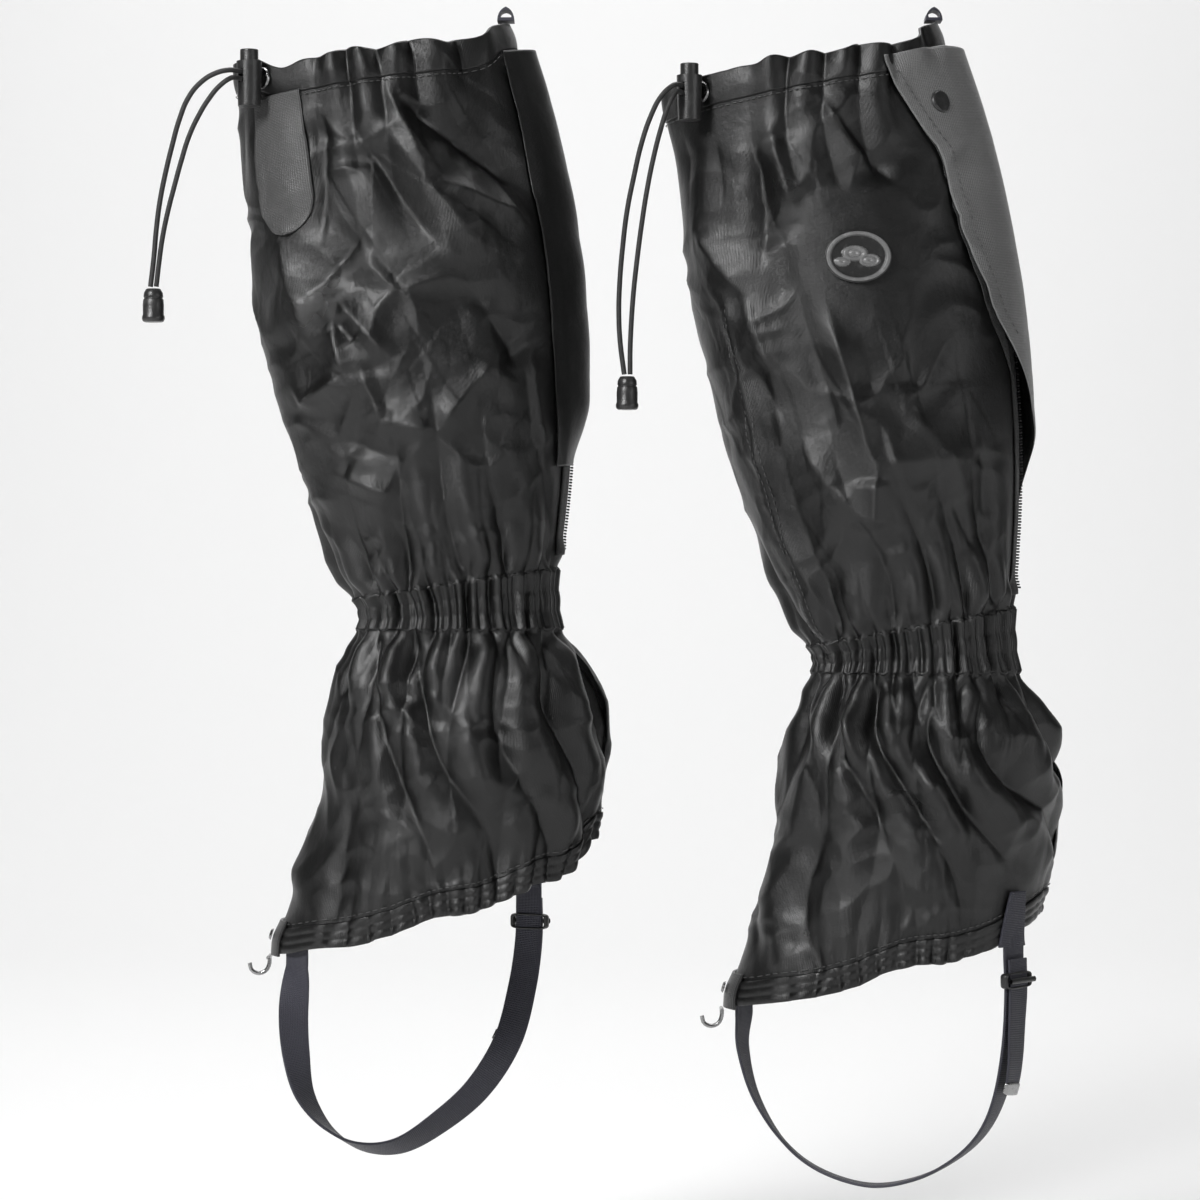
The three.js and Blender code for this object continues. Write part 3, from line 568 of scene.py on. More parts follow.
# each crease runs from one place to another, given as turn and height, then its depth and width in mm
creases = {
    "right": [
        (-80, 0.240, -18, 0.184, -7.0, 9), (-88, 0.250, -66, 0.196, 4.5, 8),
        (-66, 0.196, -30, 0.176, 4.0, 7), (-92, 0.232, -47, 0.150, 5.0, 12),
        (-104, 0.225, -72, 0.168, -4.5, 9), (-121, 0.241, -131, 0.176, -4.5, 8),
        (-124, 0.150, -101, 0.117, 5.0, 8), (-139, 0.154, -107, 0.180, -4.0, 9),
        (-153, 0.104, -125, 0.114, 4.5, 6), (-125, 0.114, -127, 0.140, 4.5, 6),
        (-127, 0.140, -118, 0.128, -3.5, 5), (-117, 0.115, -112, 0.090, 3.5, 6),
        (-112, 0.090, -86, 0.082, 3.5, 8), (-86, 0.082, -52, 0.112, 3.5, 9),
        (-141, 0.069, -111, 0.054, 4.5, 8), (-138, 0.086, -104, 0.070, -3.5, 8),
        (-60, 0.150, -36, 0.100, -4.0, 11), (-36, 0.120, -30, 0.060, 3.5, 9),
        (-150, 0.190, -140, 0.130, 3.0, 8), (70, 0.230, 120, 0.170, 5.0, 10),
        (110, 0.200, 60, 0.120, -5.0, 10), (150, 0.180, 100, 0.100, 4.5, 9),
        (80, 0.110, 130, 0.060, 4.0, 9), (50, 0.160, 84, 0.090, 3.5, 8),
    ],
    "left": [
        (-109, 0.190, -97, 0.084, 5.0, 9), (-122, 0.200, -112, 0.110, -4.0, 10),
        (-97, 0.084, -104, 0.058, 5.0, 8), (-90, 0.262, -72, 0.226, 4.5, 8),
        (-84, 0.255, -60, 0.215, -4.0, 7), (-128, 0.245, -133, 0.195, -4.5, 9),
        (-118, 0.250, -114, 0.215, 3.5, 7), (-160, 0.215, -142, 0.180, 4.5, 8),
        (-142, 0.180, -136, 0.140, 4.0, 7), (-150, 0.150, -128, 0.100, -4.0, 9),
        (-140, 0.128, -118, 0.078, 3.5, 8), (-100, 0.090, -50, 0.084, 3.5, 12),
        (-118, 0.084, -100, 0.048, 4.0, 8), (-76, 0.110, -52, 0.070, 3.0, 9),
        (-40, 0.092, -34, 0.052, -4.0, 8), (-60, 0.068, -46, 0.040, -3.5, 7),
        (-150, 0.180, -155, 0.080, 2.2, 2.5), (-155, 0.080, -141, 0.014, 2.2, 2.5),
        (60, 0.235, 115, 0.170, 5.0, 10), (120, 0.220, 66, 0.130, -5.0, 10),
        (150, 0.190, 96, 0.110, 4.5, 9), (76, 0.120, 128, 0.060, 4.0, 9),
        (44, 0.170, 80, 0.100, 3.5, 8),
    ],
}
calmNodes = ("eyelet", "cord_lock_body", "snap_cap", "hook_rivet", "hook_tab", "strap_anchor",
             "hanging_loop")


def calmSpots(leg):
    names = [leg.node(part) for part in calmNodes] + (["left_badge"] if leg.side == "left" else [])
    spots = []
    for name in names:
        low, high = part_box(name)
        height, degrees, _ = leg.legCoords((low + high) / 2)
        reach = (high - low).length * 500 + 9
        spots.append((height, degrees, reach))
    return spots


calm = {side: calmSpots(legs[side]) for side in sides}


def calmness(leg, height, degrees):  # 1 where folds are free, near 0 under sewn-on parts
    share = 1.0 - 0.95 * smooth(36, 16, abs(wrapDegrees(degrees))) * smooth(0.013, 0.028, height)
    for spotHeight, spotDegrees, reach in calm[leg.side]:
        across = wrapDegrees(degrees - spotDegrees) * foldSettings["mmPerDegree"]
        away = math.hypot(across, (height - spotHeight) * 1000) / reach
        if away < 1.6:
            share *= 0.12 + 0.88 * smooth(0.8, 1.6, away)
    return share


def pleat(phase):  # round on top, sharp in the groove
    return 2 * abs(math.sin(phase / 2)) - 1


def creaseLift(leg, height, degrees):
    total = 0.0
    scale = foldSettings["mmPerDegree"]
    for fromTurn, fromHeight, toTurn, toHeight, depth, width in creases[leg.side]:
        x, y = wrapDegrees(degrees - fromTurn) * scale, (height - fromHeight) * 1000
        if abs(x) > 90:
            continue
        runX, runY = (toTurn - fromTurn) * scale, (toHeight - fromHeight) * 1000
        share = min(1.0, max(0.0, (x * runX + y * runY) / (runX ** 2 + runY ** 2)))
        away = math.hypot(x - runX * share, y - runY * share)
        if away < width * 3:
            ends = smooth(0, 0.25, share) * smooth(0, 0.25, 1 - share) * 0.6 + 0.4
            tallest = foldSettings["creaseGain"] * depth / 1000 * ends
            total += tallest * math.exp(-math.hypot(away, 0.8) / width)
    return total


def ridged(point, scale, stretch=1.0):
    return 0.5 - abs(noise.noise(Vector((point.x * scale, point.y * scale, point.z * scale * stretch))))


def foldLift(leg, height, degrees):
    s = foldSettings
    angle = math.radians(degrees)
    top = leg.edgeAt(leg.topEdge, degrees)
    hem = leg.edgeAt(leg.hemEdge, degrees)
    point = Vector((math.cos(angle) * 0.052, math.sin(angle) * 0.052, height + 0.003 * degrees / 90))
    point += Vector((0.31, 0.17, 0.07)) * (1 if leg.side == "right" else 2)
    bend = noise.noise(point * 34)
    slow = noise.noise(point * 13)
    fromBand = max(0.0, abs(height) - legSettings["bandHalf"])
    near = math.exp(-fromBand / s["ankleReach"])
    wide = math.exp(-fromBand / s["gatherReach"]) * smooth(0, 0.010, fromBand)
    lift = near * s["ankleDepth"] * pleat(angle * s["anklePleats"] + 3.0 * bend) * (0.75 + 0.5 * slow)
    lift += wide * s["gatherDepth"] * pleat(angle * s["gathers"] + 4.5 * slow + 26 * fromBand)
    if abs(height) < legSettings["bandHalf"]:
        lift += s["shirringDepth"] * pleat(angle * s["shirring"] + 1.5 * bend)
    fromTop = max(0.0, top - height)
    lift += math.exp(-fromTop / s["topReach"]) * s["topDepth"] * pleat(angle * s["topPleats"] + 5 * slow)
    fromHem = max(0.0, height - hem)
    lift += math.exp(-fromHem / s["hemReach"]) * s["hemDepth"] * pleat(angle * s["hemPleats"] + 2 * bend)
    if height < -legSettings["bandHalf"]:
        middle = smooth(0, 0.03, fromBand) * smooth(0, 0.025, fromHem)
        flute = pleat(angle * s["footFolds"] + height * 48 + 9 * slow)
        lift += middle * s["footDepth"] * (0.6 + slow) * flute
        rumple = 1.1 * ridged(point, 26, 0.6) + 0.6 * ridged(point, 60, 0.7) - 0.3
        lift += middle * s["footDepth"] * rumple
    else:
        lift += creaseLift(leg, height, degrees) * smooth(0, 0.02, fromBand)
    free = smooth(0, 0.02, fromBand) * (0.35 + 0.65 * smooth(0, 0.02, fromTop))
    warped = point + Vector((0, 0.012 * slow, 0.018 * bend))
    lift += free * s["crumple"] * (0.9 * ridged(warped, 19, 0.7) + 0.55 * ridged(warped, 47) - 0.35)
    return lift * calmness(leg, height, degrees)


# a grid that place() lays out: it turns a share across and along into a point and its cloth coordinates
def gridMesh(columns, rows, place):
    bm = bmesh.new()
    bmesh.ops.create_grid(bm, x_segments=columns, y_segments=rows, size=1)
    cloth = bm.loops.layers.uv.new("cloth")
    flat = {}
    for vert in bm.verts:
        vert.co, flat[vert] = place(vert.co.x * 0.5 + 0.5, vert.co.y * 0.5 + 0.5)
    for face in bm.faces:
        for loop in face.loops:
            loop[cloth].uv = flat[loop.vert]
    bmesh.ops.remove_doubles(bm, verts=bm.verts, dist=1e-6)
    return bm


# a sheet laid round a leg between two edges; its cloth coordinates are in metres
def wrapSheet(leg, rows, columns, turns, edges, liftAt, wavy=0.0):
    def place(across, up):
        low, high = edges(across)
        height = mix(low, high, up)
        start, stop = turns(height)
        degrees = mix(start, stop, across)
        if wavy:
            angle = math.radians(degrees)
            around = Vector((math.cos(angle) * 4, math.sin(angle) * 4, leg.lean * 50))
            height += wavy * (up if height > 0 else 1 - up) * noise.noise(around)
        lift = foldLift(leg, height, degrees) + liftAt(across, up, degrees, height)
        return leg.skin(height, degrees, lift), (degrees * foldSettings["mmPerDegree"] / 1000, height)

    bm = gridMesh(columns, rows, place)
    bm.normal_update()
    facing = sum(face.normal.dot(face.calc_center_median() - leg.axisPoint(
        leg.legCoords(face.calc_center_median())[0])) for face in list(bm.faces)[::17])
    if facing < 0:
        bmesh.ops.reverse_faces(bm, faces=bm.faces)
    return bm


def wholeTurn(height):
    return 0, 360


def addWrap(name, leg, rows, columns, edges, liftAt, material, slot, node, wall, wavy=0.0):
    bm = wrapSheet(leg, rows, columns, wholeTurn, edges, liftAt, wavy)
    piece = finishPiece(name, bm, material, leg.body, slot, [node])
    thicken(piece, wall)
    return piece


# the cloth above and below the ankle, tucked under the bands at its edges
shellSettings = {"wall": 0.0006, "channel": 0.014, "hem": 0.012, "tuck": 0.0012, "under": 0.0004}


def addShell(leg, name, node, rows, edges):
    return addWrap(leg.side + name, leg, rows, 380, edges, lambda *place: -shellSettings["under"], nylon,
                   "nylon", leg.node(node), shellSettings["wall"])


def addCalf(leg):
    def edges(across):
        top = leg.edgeAt(leg.topEdge, across * 360)
        low = legSettings["bandHalf"] - shellSettings["tuck"]
        return low, top - shellSettings["channel"] + shellSettings["tuck"]

    return addShell(leg, "Calf", "calf_shell", 230, edges)


def addFoot(leg):
    def edges(across):
        hem = leg.edgeAt(leg.hemEdge, across * 360)
        high = -legSettings["bandHalf"] + shellSettings["tuck"]
        return hem + shellSettings["hem"] - shellSettings["tuck"], high

    return addShell(leg, "Foot", "foot_shell", 110, edges)


def addBands(leg):
    half = legSettings["bandHalf"]

    def puff(across, up, degrees, height):  # rounded by the cord inside it
        return 0.0008 * math.sin(math.pi * min(1, max(0, up))) + 0.0002

    def topEdges(across):
        top = leg.edgeAt(leg.topEdge, across * 360)
        return top - shellSettings["channel"], top

    def hemEdges(across):
        hem = leg.edgeAt(leg.hemEdge, across * 360)
        return hem, hem + shellSettings["hem"]

    def rows(across, up, degrees, height):  # three rows of elastic, with grooves between them
        return 0.0005 * abs(math.sin(up * math.pi * 3)) + 0.0003

    def sunk(across, up, degrees, height):  # drawn in below the cloth on either side
        return rows(across, up, degrees, height) - 0.0016 * (1 - (2 * up - 1) ** 4)

    addWrap(leg.side + "Channel", leg, 18, 380, topEdges, puff, nylon, "nylon",
            leg.node("cord_channel"), 0.0012, 0.0030)
    addWrap(leg.side + "AnkleBand", leg, 26, 420, lambda across: (-half, half), sunk, nylon, "elastic",
            leg.node("ankle_elastic"), 0.0014)
    addWrap(leg.side + "Hem", leg, 18, 420, hemEdges, rows, nylon, "elastic",
            leg.node("hem_elastic"), 0.0014, 0.0012)


def girthAt(leg, height):
    ring = [leg.skin(height, degrees) for degrees in range(0, 360, 5)]
    return sum((b - a).length for a, b in zip(ring, ring[1:] + ring[:1]))


for side in sides:
    leg = legs[side]
    calf, foot = addCalf(leg), addFoot(leg)
    addBands(leg)
    calfGirth = max(girthAt(leg, height) for height in (0.08, 0.14, 0.20))
    footGirth = max(girthAt(leg, height) for height in (-0.04, -0.08))
    leg.node("cord_channel")
    leg.node("ankle_elastic")


# storm flap over the zip, sewn down one edge
flapSettings = {
    "seam": 22, "from": 0.22, "below": 0.012, "room": 0.0064, "edge": 0.0010, "wall": 0.0006,
    "bend": 0.016, "radius": 0.058, "rightMost": 47,
    "wraps": ((0.0, -4), (0.22, 10), (0.42, 29), (0.58, 36), (0.80, 40), (1.0, 56)),
}


def flapSpan(leg):
    calf = float(leg.topEdge.mean())
    return calf * flapSettings["from"], calf - flapSettings["below"]


def flapTurns(leg):
    low, high = flapSpan(leg)

    def turns(height):
        share = min(1.0, max(0.0, (height - low) / (high - low)))
        shares, degrees = zip(*flapSettings["wraps"])
        wrap = float(np.interp(share, shares, degrees))
        if leg.side == "right":  # kept clear of the other gaiter when it opens
            wrap = min(wrap, flapSettings["rightMost"])
        return (-flapSettings["seam"], wrap) if leg.outer > 0 else (-wrap, flapSettings["seam"])

    return turns


def flapLift(leg, degrees, height):
    low, high = flapSpan(leg)
    fromSeam = flapSettings["seam"] + leg.outer * degrees
    rise = smooth(0, 22, fromSeam) * flapSettings["room"] * bump(degrees, 2 * leg.outer, 46)
    return rise * smooth(low, low + 0.03, height) + flapSettings["edge"] * smooth(0, 8, fromSeam) + 0.0011


def addFlap(leg):
    low, high = flapSpan(leg)
    heel = float(leg.edgeAt(leg.topEdge, 0))

    def edges(across):
        return low, high + 0.6 * (heel - float(leg.topEdge.mean())) * (1 - abs(across - 0.4))

    def liftAt(across, up, degrees, height):
        edge = across if leg.outer > 0 else 1 - across
        wave = noise.noise(Vector((height * 30, degrees / 22, leg.outer * 3)))
        return flapLift(leg, degrees, height) + 0.0012 * abs(wave) * smooth(0.05, 0.4, edge)

    bm = wrapSheet(leg, 170, 60, flapTurns(leg), edges, liftAt)
    # the flap's lighter grey is painted sheen; faces from the seam round to the heel keep the black nylon
    flap = finishPiece(leg.side + "StormFlap", bm, sheenPaintedNylon, None, "grey_nylon", [leg.node("storm_flap")])
    flap.data.materials.append(nylon)
    for polygon in flap.data.polygons:
        if leg.legCoords(polygon.center)[1] * leg.outer < 3:
            polygon.material_index = 1
    thicken(flap, flapSettings["wall"])
    seam = Vector(jointOf(leg.side + "_flap_opens")["pos_m"])
    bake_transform(flap)
    leg.node("calf_shell")


# pale rounded tongue under the cord lock
tongueSettings = {"turn": -144, "half": 13, "height": 0.066, "below": 0.014}


def addTongue(leg):
    high = leg.edgeAt(leg.topEdge, tongueSettings["turn"]) - tongueSettings["below"]
    low = high - tongueSettings["height"]

    def turns(height):
        rounding = min(1.0, (height - low) / tongueSettings["height"] * 3.4)
        half = tongueSettings["half"] * math.sqrt(max(0.02, 1 - (1 - rounding) ** 2))
        return tongueSettings["turn"] - half, tongueSettings["turn"] + half

    def liftAt(across, up, degrees, height):
        return 0.0013 + 0.0008 * bump(across, 0.5, 0.5)

    bm = wrapSheet(leg, 60, 30, turns, lambda across: (low, high), liftAt)
    tongue = finishPiece("rightTongue", bm, softGrey, leg.body, "grey_nylon", ["right_lock_tongue"])
    thicken(tongue, 0.0009)


# strips of hook and loop tape along the flap's free edge
def addStrips(leg):
    low, high = flapSpan(leg)
    turns = flapTurns(leg)

    def stripTurns(height):
        start, stop = turns(height)
        return (stop - 8, stop - 1.5) if leg.outer > 0 else (start + 1.5, start + 8)

    def edges(across):
        return low + 0.050, high - 0.026

    for name, node, body, gap in (("HookStrip", "hook_strip", leg.side + "_storm_flap", -0.0007),
                                  ("LoopStrip", "loop_strip", leg.body, None)):
        def liftAt(across, up, degrees, height, gap=gap):
            return 0.0003 if gap is None else flapLift(leg, degrees, height) + gap
        bm = wrapSheet(leg, 60, 6, stripTurns, edges, liftAt)
        strip = finishPiece(leg.side + name, bm, fuzzy, body, "hook_and_loop", [leg.node(node)])
        thicken(strip, 0.0003)


for side in sides:
    addFlap(legs[side])
    addStrips(legs[side])
addTongue(legs["right"])
print("flaps laid")


# any surface given as a place for each (across, along) pair from 0 to 1
def paramMesh(columns, rows, place, width=1.0, length=1.0):
    def placeBoth(across, along):
        return place(across, along), (across * width, along * length)

    bm = gridMesh(columns, rows, placeBoth)
    bmesh.ops.recalc_face_normals(bm, faces=bm.faces)
    return bm


# instep strap: a twisting ribbon from inside the hem to the anchor, each stop with its turn
strapSettings = {
    "width": 0.014, "wall": 0.0013, "up": 0.011, "buckleAt": 0.885,
    "right": {"ends": ((-97.9, -19.0, -458.4), (10.4, 42.4, -429.8)), "rear": 55, "turns": (-40, 208),
              "tail": (0.72, 0.925), "face": 1,
              "stops": [(-78, -192, 8), (-77, -212, 30), (-73, -232, 60), (-62, -249, 90),
                        (-47, -259, 112), (-29, -260, 130), (-10, -250, 145), (8, -235, 158),
                        (22, -213, 172), (29, -187, 188), (32, -164, 200)]},
    "left": {"ends": ((115.0, 14.1, -484.4), (240.2, -32.9, -451.7)), "rear": -38, "turns": (54, 136),
             "tail": (0.74, 0.925), "face": -1,
             "stops": [(-82, -193, 66), (-76, -216, 78), (-63, -237, 90), (-46, -250, 92),
                       (-23, -256, 94), (-2, -252, 98), (16, -242, 104), (29, -229, 112),
                       (37, -212, 120), (42, -188, 128), (44, -163, 134)]},
}


class Strap:
    def __init__(self, leg):
        given = strapSettings[leg.side]
        self.given = given
        raised = Vector((0, 0, strapSettings["up"]))
        front, rear = [Vector(end) / 1000 for end in given["ends"]]
        stops = []
        for x, z, _ in given["stops"]:
            stop = leg.ankle + Vector((x, 0, z)) / 1000
            stop.y = mix(front.y, rear.y, (stop.x - front.x) / (rear.x - front.x))
            stops.append(stop)
        self.points = [front + raised, front, *stops, rear, rear + raised]
        angles = [given["turns"][0], *[stop[2] for stop in given["stops"]], given["turns"][1]]
        self.angles = [angles[0], *angles, angles[-1]]
        self.length = routeLength(self.points)

    def at(self, share):
        place = min(len(self.points) - 1.0001, max(0.0, share * (len(self.points) - 1)))
        index = int(place)
        pick = [self.points[min(len(self.points) - 1, max(0, index + k))] for k in (-1, 0, 1, 2)]
        return catmull(*pick, place - index), mix(self.angles[index], self.angles[index + 1], place - index)

    def frameAt(self, share):
        point, degrees = self.at(share)
        ahead, behind = self.at(min(1, share + 0.004))[0], self.at(max(0, share - 0.004))[0]
        tangent = (ahead - behind).normalized()
        level = tangent.cross(Vector((0, 1, 0))).normalized()
        turn = math.radians(degrees)
        width = level * math.cos(turn) + Vector((0, 1, 0)) * math.sin(turn)
        return point, width, tangent.cross(width).normalized(), tangent


def pivotOf(leg):
    joint = jointOf(leg.side + "_strap_swings")
    pivot = Vector(joint["pos_m"])
    axis = Vector(joint["axis"]).normalized()
    down = Vector((0, 0, -1))
    return pivot, (down - axis * down.dot(axis)).normalized()


def addStrap(leg):
    strap = Strap(leg)
    wide = strapSettings["width"]

    def place(across, along):
        point, width, face, _ = strap.frameAt(along)
        cup = 0.0004 * (2 * across - 1) ** 2
        return point + width * (across - 0.5) * wide + face * cup

    bm = paramMesh(10, 220, place, wide, strap.length)
    ribbon = finishPiece(leg.side + "Strap", bm, webbing, None, "webbing", [leg.node("instep_strap")])
    thicken(ribbon, strapSettings["wall"], 0.0)
    roundEdges(ribbon, 0.0003)
    pivot, down = pivotOf(leg)
    tuple(pivot)
    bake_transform(ribbon)
    return strap


# spare end of the strap, lying on it, with a folded tip
def addTail(leg, strap):
    low, high = strap.given["tail"]
    wide = strapSettings["width"] * 0.94

    def place(across, along, extra=0.0):
        share = mix(low, high, along)
        point, width, face, _ = strap.frameAt(share)
        loose = 0.0022 * smooth(0.5, 0.0, along) if along < 0.5 else 0.0
        rise = strapSettings["wall"] + 0.0007 + loose + extra
        return point + width * (across - 0.5) * wide + face * rise * strap.given["face"]

    bm = paramMesh(8, 90, place, wide, strap.length * (high - low))
    tail = finishPiece(leg.side + "StrapTail", bm, webbing, leg.side + "_instep_strap", "webbing",
                       [leg.node("strap_tail")])
    thicken(tail, strapSettings["wall"] * 0.9, 0.0)
    roundEdges(tail, 0.0003)

    def tipPlace(across, along):
        angle = across * math.tau
        side, rise = math.cos(angle), math.sin(angle)
        flatSide = math.copysign(abs(side) ** 0.35, side)
        flatRise = math.copysign(abs(rise) ** 0.6, rise)
        share = mix(low - 0.012, low + 0.006, along)
        point, width, face, _ = strap.frameAt(share)
        inset = 1 - 0.5 * max(0, 1 - min(along, 1 - along) * 12)
        centre = point + face * (strapSettings["wall"] + 0.0029) * strap.given["face"]
        return centre + width * flatSide * wide * 0.54 * inset + face * flatRise * 0.0014 * inset

    tip = paramMesh(28, 14, tipPlace)
    bmesh.ops.holes_fill(tip, edges=tip.edges, sides=0)
    finishPiece(leg.side + "StrapTip", tip, nickel, leg.side + "_instep_strap", "nickel")


# two-bar slide the strap is threaded through
def addBuckle(leg, strap):
    point, width, face, tangent = strap.frameAt(strapSettings["buckleAt"])
    centre = point + face * (strapSettings["wall"] * 0.5 + 0.0003) * strap.given["face"]
    halfWide, halfTall = strapSettings["width"] / 2 + 0.0020, 0.0034

    def ringPlace(across, along):
        turn, angle = across * math.tau, along * math.tau
        x = math.copysign(abs(math.cos(turn)) ** 0.35, math.cos(turn)) * halfWide
        y = math.copysign(abs(math.sin(turn)) ** 0.35, math.sin(turn)) * halfTall
        middle = centre + width * x + tangent * y
        out = (width * x + tangent * y).normalized()
        return middle + out * math.cos(angle) * 0.0011 + face * math.sin(angle) * 0.0022

    ring = paramMesh(80, 14, ringPlace)
    body = leg.side + "_instep_strap"
    finishPiece(leg.side + "Buckle", ring, plastic, body, "plastic", [leg.node("strap_buckle")])

    def barPlace(across, along):
        angle = across * math.tau
        lift = (strapSettings["wall"] * 1.9 + 0.0014) * strap.given["face"]
        round = tangent * math.cos(angle) * 0.0013 + face * (math.sin(angle) * 0.0010 + lift)
        return centre + width * (along - 0.5) * 2 * halfWide + round

    finishPiece(leg.side + "BuckleBar", paramMesh(14, 6, barPlace), plastic, body, "plastic")


straps = {}
for side in sides:
    straps[side] = addStrap(legs[side])
    addTail(legs[side], straps[side])
    addBuckle(legs[side], straps[side])
print("straps laid")


# sewn-on tapes: the toe tab and the tapered heel anchor
tapeSettings = {"tabTurns": (170.5, 189.5), "anchorHalves": (9.5, 4.5), "anchorTall": 0.026}


def addTapes(leg):
    low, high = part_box(leg.node("hook_tab"))
    tabHeight = high.z - low.z
    base = leg.edgeAt(leg.hemEdge, 180) - 0.0015

    def tabLift(across, up, degrees, height):
        return 0.0016 + 0.0006 * bump(up, 0.5, 0.5)

    bm = wrapSheet(leg, 24, 20, lambda height: tapeSettings["tabTurns"],
                   lambda across: (base, base + tabHeight), tabLift)
    tab = finishPiece(leg.side + "Tab", bm, glossyTape, leg.body, "webbing", [leg.node("hook_tab")])
    thicken(tab, 0.0015)
    roundEdges(tab, 0.0004)
    rear = strapSettings[leg.side]["rear"]
    anchorLow, tall = leg.edgeAt(leg.hemEdge, rear) - 0.004, tapeSettings["anchorTall"]

    def anchorTurns(height):
        half = mix(*tapeSettings["anchorHalves"], min(1, max(0, (height - anchorLow) / tall)))
        return rear - half, rear + half

    bm = wrapSheet(leg, 30, 16, anchorTurns, lambda across: (anchorLow, anchorLow + tall),
                   lambda *place: 0.0022)
    anchor = finishPiece(leg.side + "Anchor", bm, webbing, leg.body, "webbing", [leg.node("strap_anchor")])
    thicken(anchor, 0.0014)
    roundEdges(anchor, 0.0003)


# oval moulded badge: a rim round three low hills, each given as its centre and reach
badgeSettings = {"base": 0.0009, "rim": 0.0013, "hill": 0.0012,
                 "hills": ((-0.34, -0.15, 0.34), (0.1, 0.12, 0.42), (0.48, -0.2, 0.26))}


def addBadge(leg):
    low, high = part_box("left_badge")
    centre = (low + high) / 2
    height, degrees, _ = leg.legCoords(centre)
    out = leg.normal(height, degrees)
    if out.dot(leg.outward(height, degrees)) < 0:
        out = -out
    up = (Vector((0, 0, 1)) - out * out.z).normalized()
    right = up.cross(out) * -1
    halfWide, halfTall = (high.x - low.x) / 2 * 1.02, (high.z - low.z) / 2
    seat = leg.skin(height, degrees, 0.0008)
    base = badgeSettings["base"]

    def place(across, along):
        angle = across * math.tau
        x, y = math.cos(angle) * along, math.sin(angle) * along
        rise = base + badgeSettings["rim"] * smooth(0.80, 0.86, along) * smooth(1.0, 0.95, along)
        for hillX, hillY, reach in badgeSettings["hills"]:
            away = math.hypot(x - hillX, (y - hillY) * 1.3)
            inside = smooth(reach, reach - 0.08, away) if away < reach else 0.0
            ridge = 0.45 + 0.55 * abs(math.sin(away * 16))
            rise = max(rise, base + badgeSettings["hill"] * inside * ridge)
        edge = 1.0 if along < 0.97 else 0.0
        return seat + right * x * halfWide + up * y * halfTall + out * rise * edge

    bm = paramMesh(120, 48, place)
    badge = finishPiece("leftBadge", bm, badgeRubber, leg.body, "badge", ["left_badge"])
    badge.data.materials.append(plastic)
    floor = seat.dot(out) + 0.0011
    for polygon in badge.data.polygons:
        if polygon.center.dot(out) < floor:
            polygon.material_index = 1


for side in sides:
    addTapes(legs[side])
addBadge(legs["left"])
print("tapes and badge sewn on")


# hardware keeps its worked shape, with softened edges
def addHardware(node, material, slot, width):
    bm = bmesh.new()
    bm.from_mesh(frame["nodes"][node].data)
    bmesh.ops.remove_doubles(bm, verts=bm.verts, dist=1e-6)
    bmesh.ops.dissolve_limit(bm, angle_limit=math.radians(1), verts=bm.verts, edges=bm.edges)
    words = node.split("_")
    name = words[0] + "".join(word.capitalize() for word in words[1:])
    body = next(b for b, names in frame["record"]["behaviour"]["bodies"].items() if node in names)
    piece = finishPiece(name, bm, material, body, slot, [node])
    piece.data.set_sharp_from_angle(angle=math.radians(50))
    if width:
        roundEdges(piece, width, limit=35)
    return piece


hardware = {
    "zip_slider": (nickel, "nickel", 0.0003), "zip_pull": (nickel, "nickel", 0.0002),
    "snap_cap": (plastic, "nickel", 0.0005), "snap_stud": (blackMetal, "nickel", 0.0001),
    "eyelet": (nickel, "nickel", 0.0002), "cord_lock_body": (plastic, "plastic", 0.0007),
    "cord_lock_button": (plastic, "plastic", 0.0006), "cord_lock_spring": (nickel, "nickel", 0),
    "hook_rivet": (nickel, "nickel", 0.0003), "hanging_loop": (webbing, "webbing", 0.0003),
    "lace_hook": (nickel, "nickel", 0),
}


# the lock's spring gets its own copy of its mesh
def squashSpring(spring):
    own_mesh(spring)


for side in sides:
    for part, (material, slot, width) in hardware.items():
        piece = addHardware(side + "_" + part, material, slot, width)
        if part == "cord_lock_spring":
            squashSpring(piece)
print("hardware finished")


# rows of stitches, each a short thread bead lying along its seam
stitchSettings = {"pitch": 0.0034, "thread": 0.00028, "lift": 0.0003}


def stitchRow(bm, leg, path, length, liftAt=lambda degrees, height: 0.0):
    count = max(2, int(length / stitchSettings["pitch"]))
    for index in range(count):
        share = (index + 0.5) / count
        ends = []
        for step in (-0.3, 0.3):
            height, degrees = path(share + step / count)
            lift = foldLift(leg, height, degrees) + liftAt(degrees, height) + stitchSettings["lift"]
            ends.append(leg.skin(height, degrees, lift))
        middle, run = (ends[0] + ends[1]) / 2, ends[1] - ends[0]
        place = Matrix.Translation(middle) @ run.to_track_quat("Z", "Y").to_matrix().to_4x4()
        bmesh.ops.create_uvsphere(bm, u_segments=6, v_segments=4, radius=1, matrix=place @ Matrix.Diagonal(
            (stitchSettings["thread"], stitchSettings["thread"], run.length * 0.62, 1)))


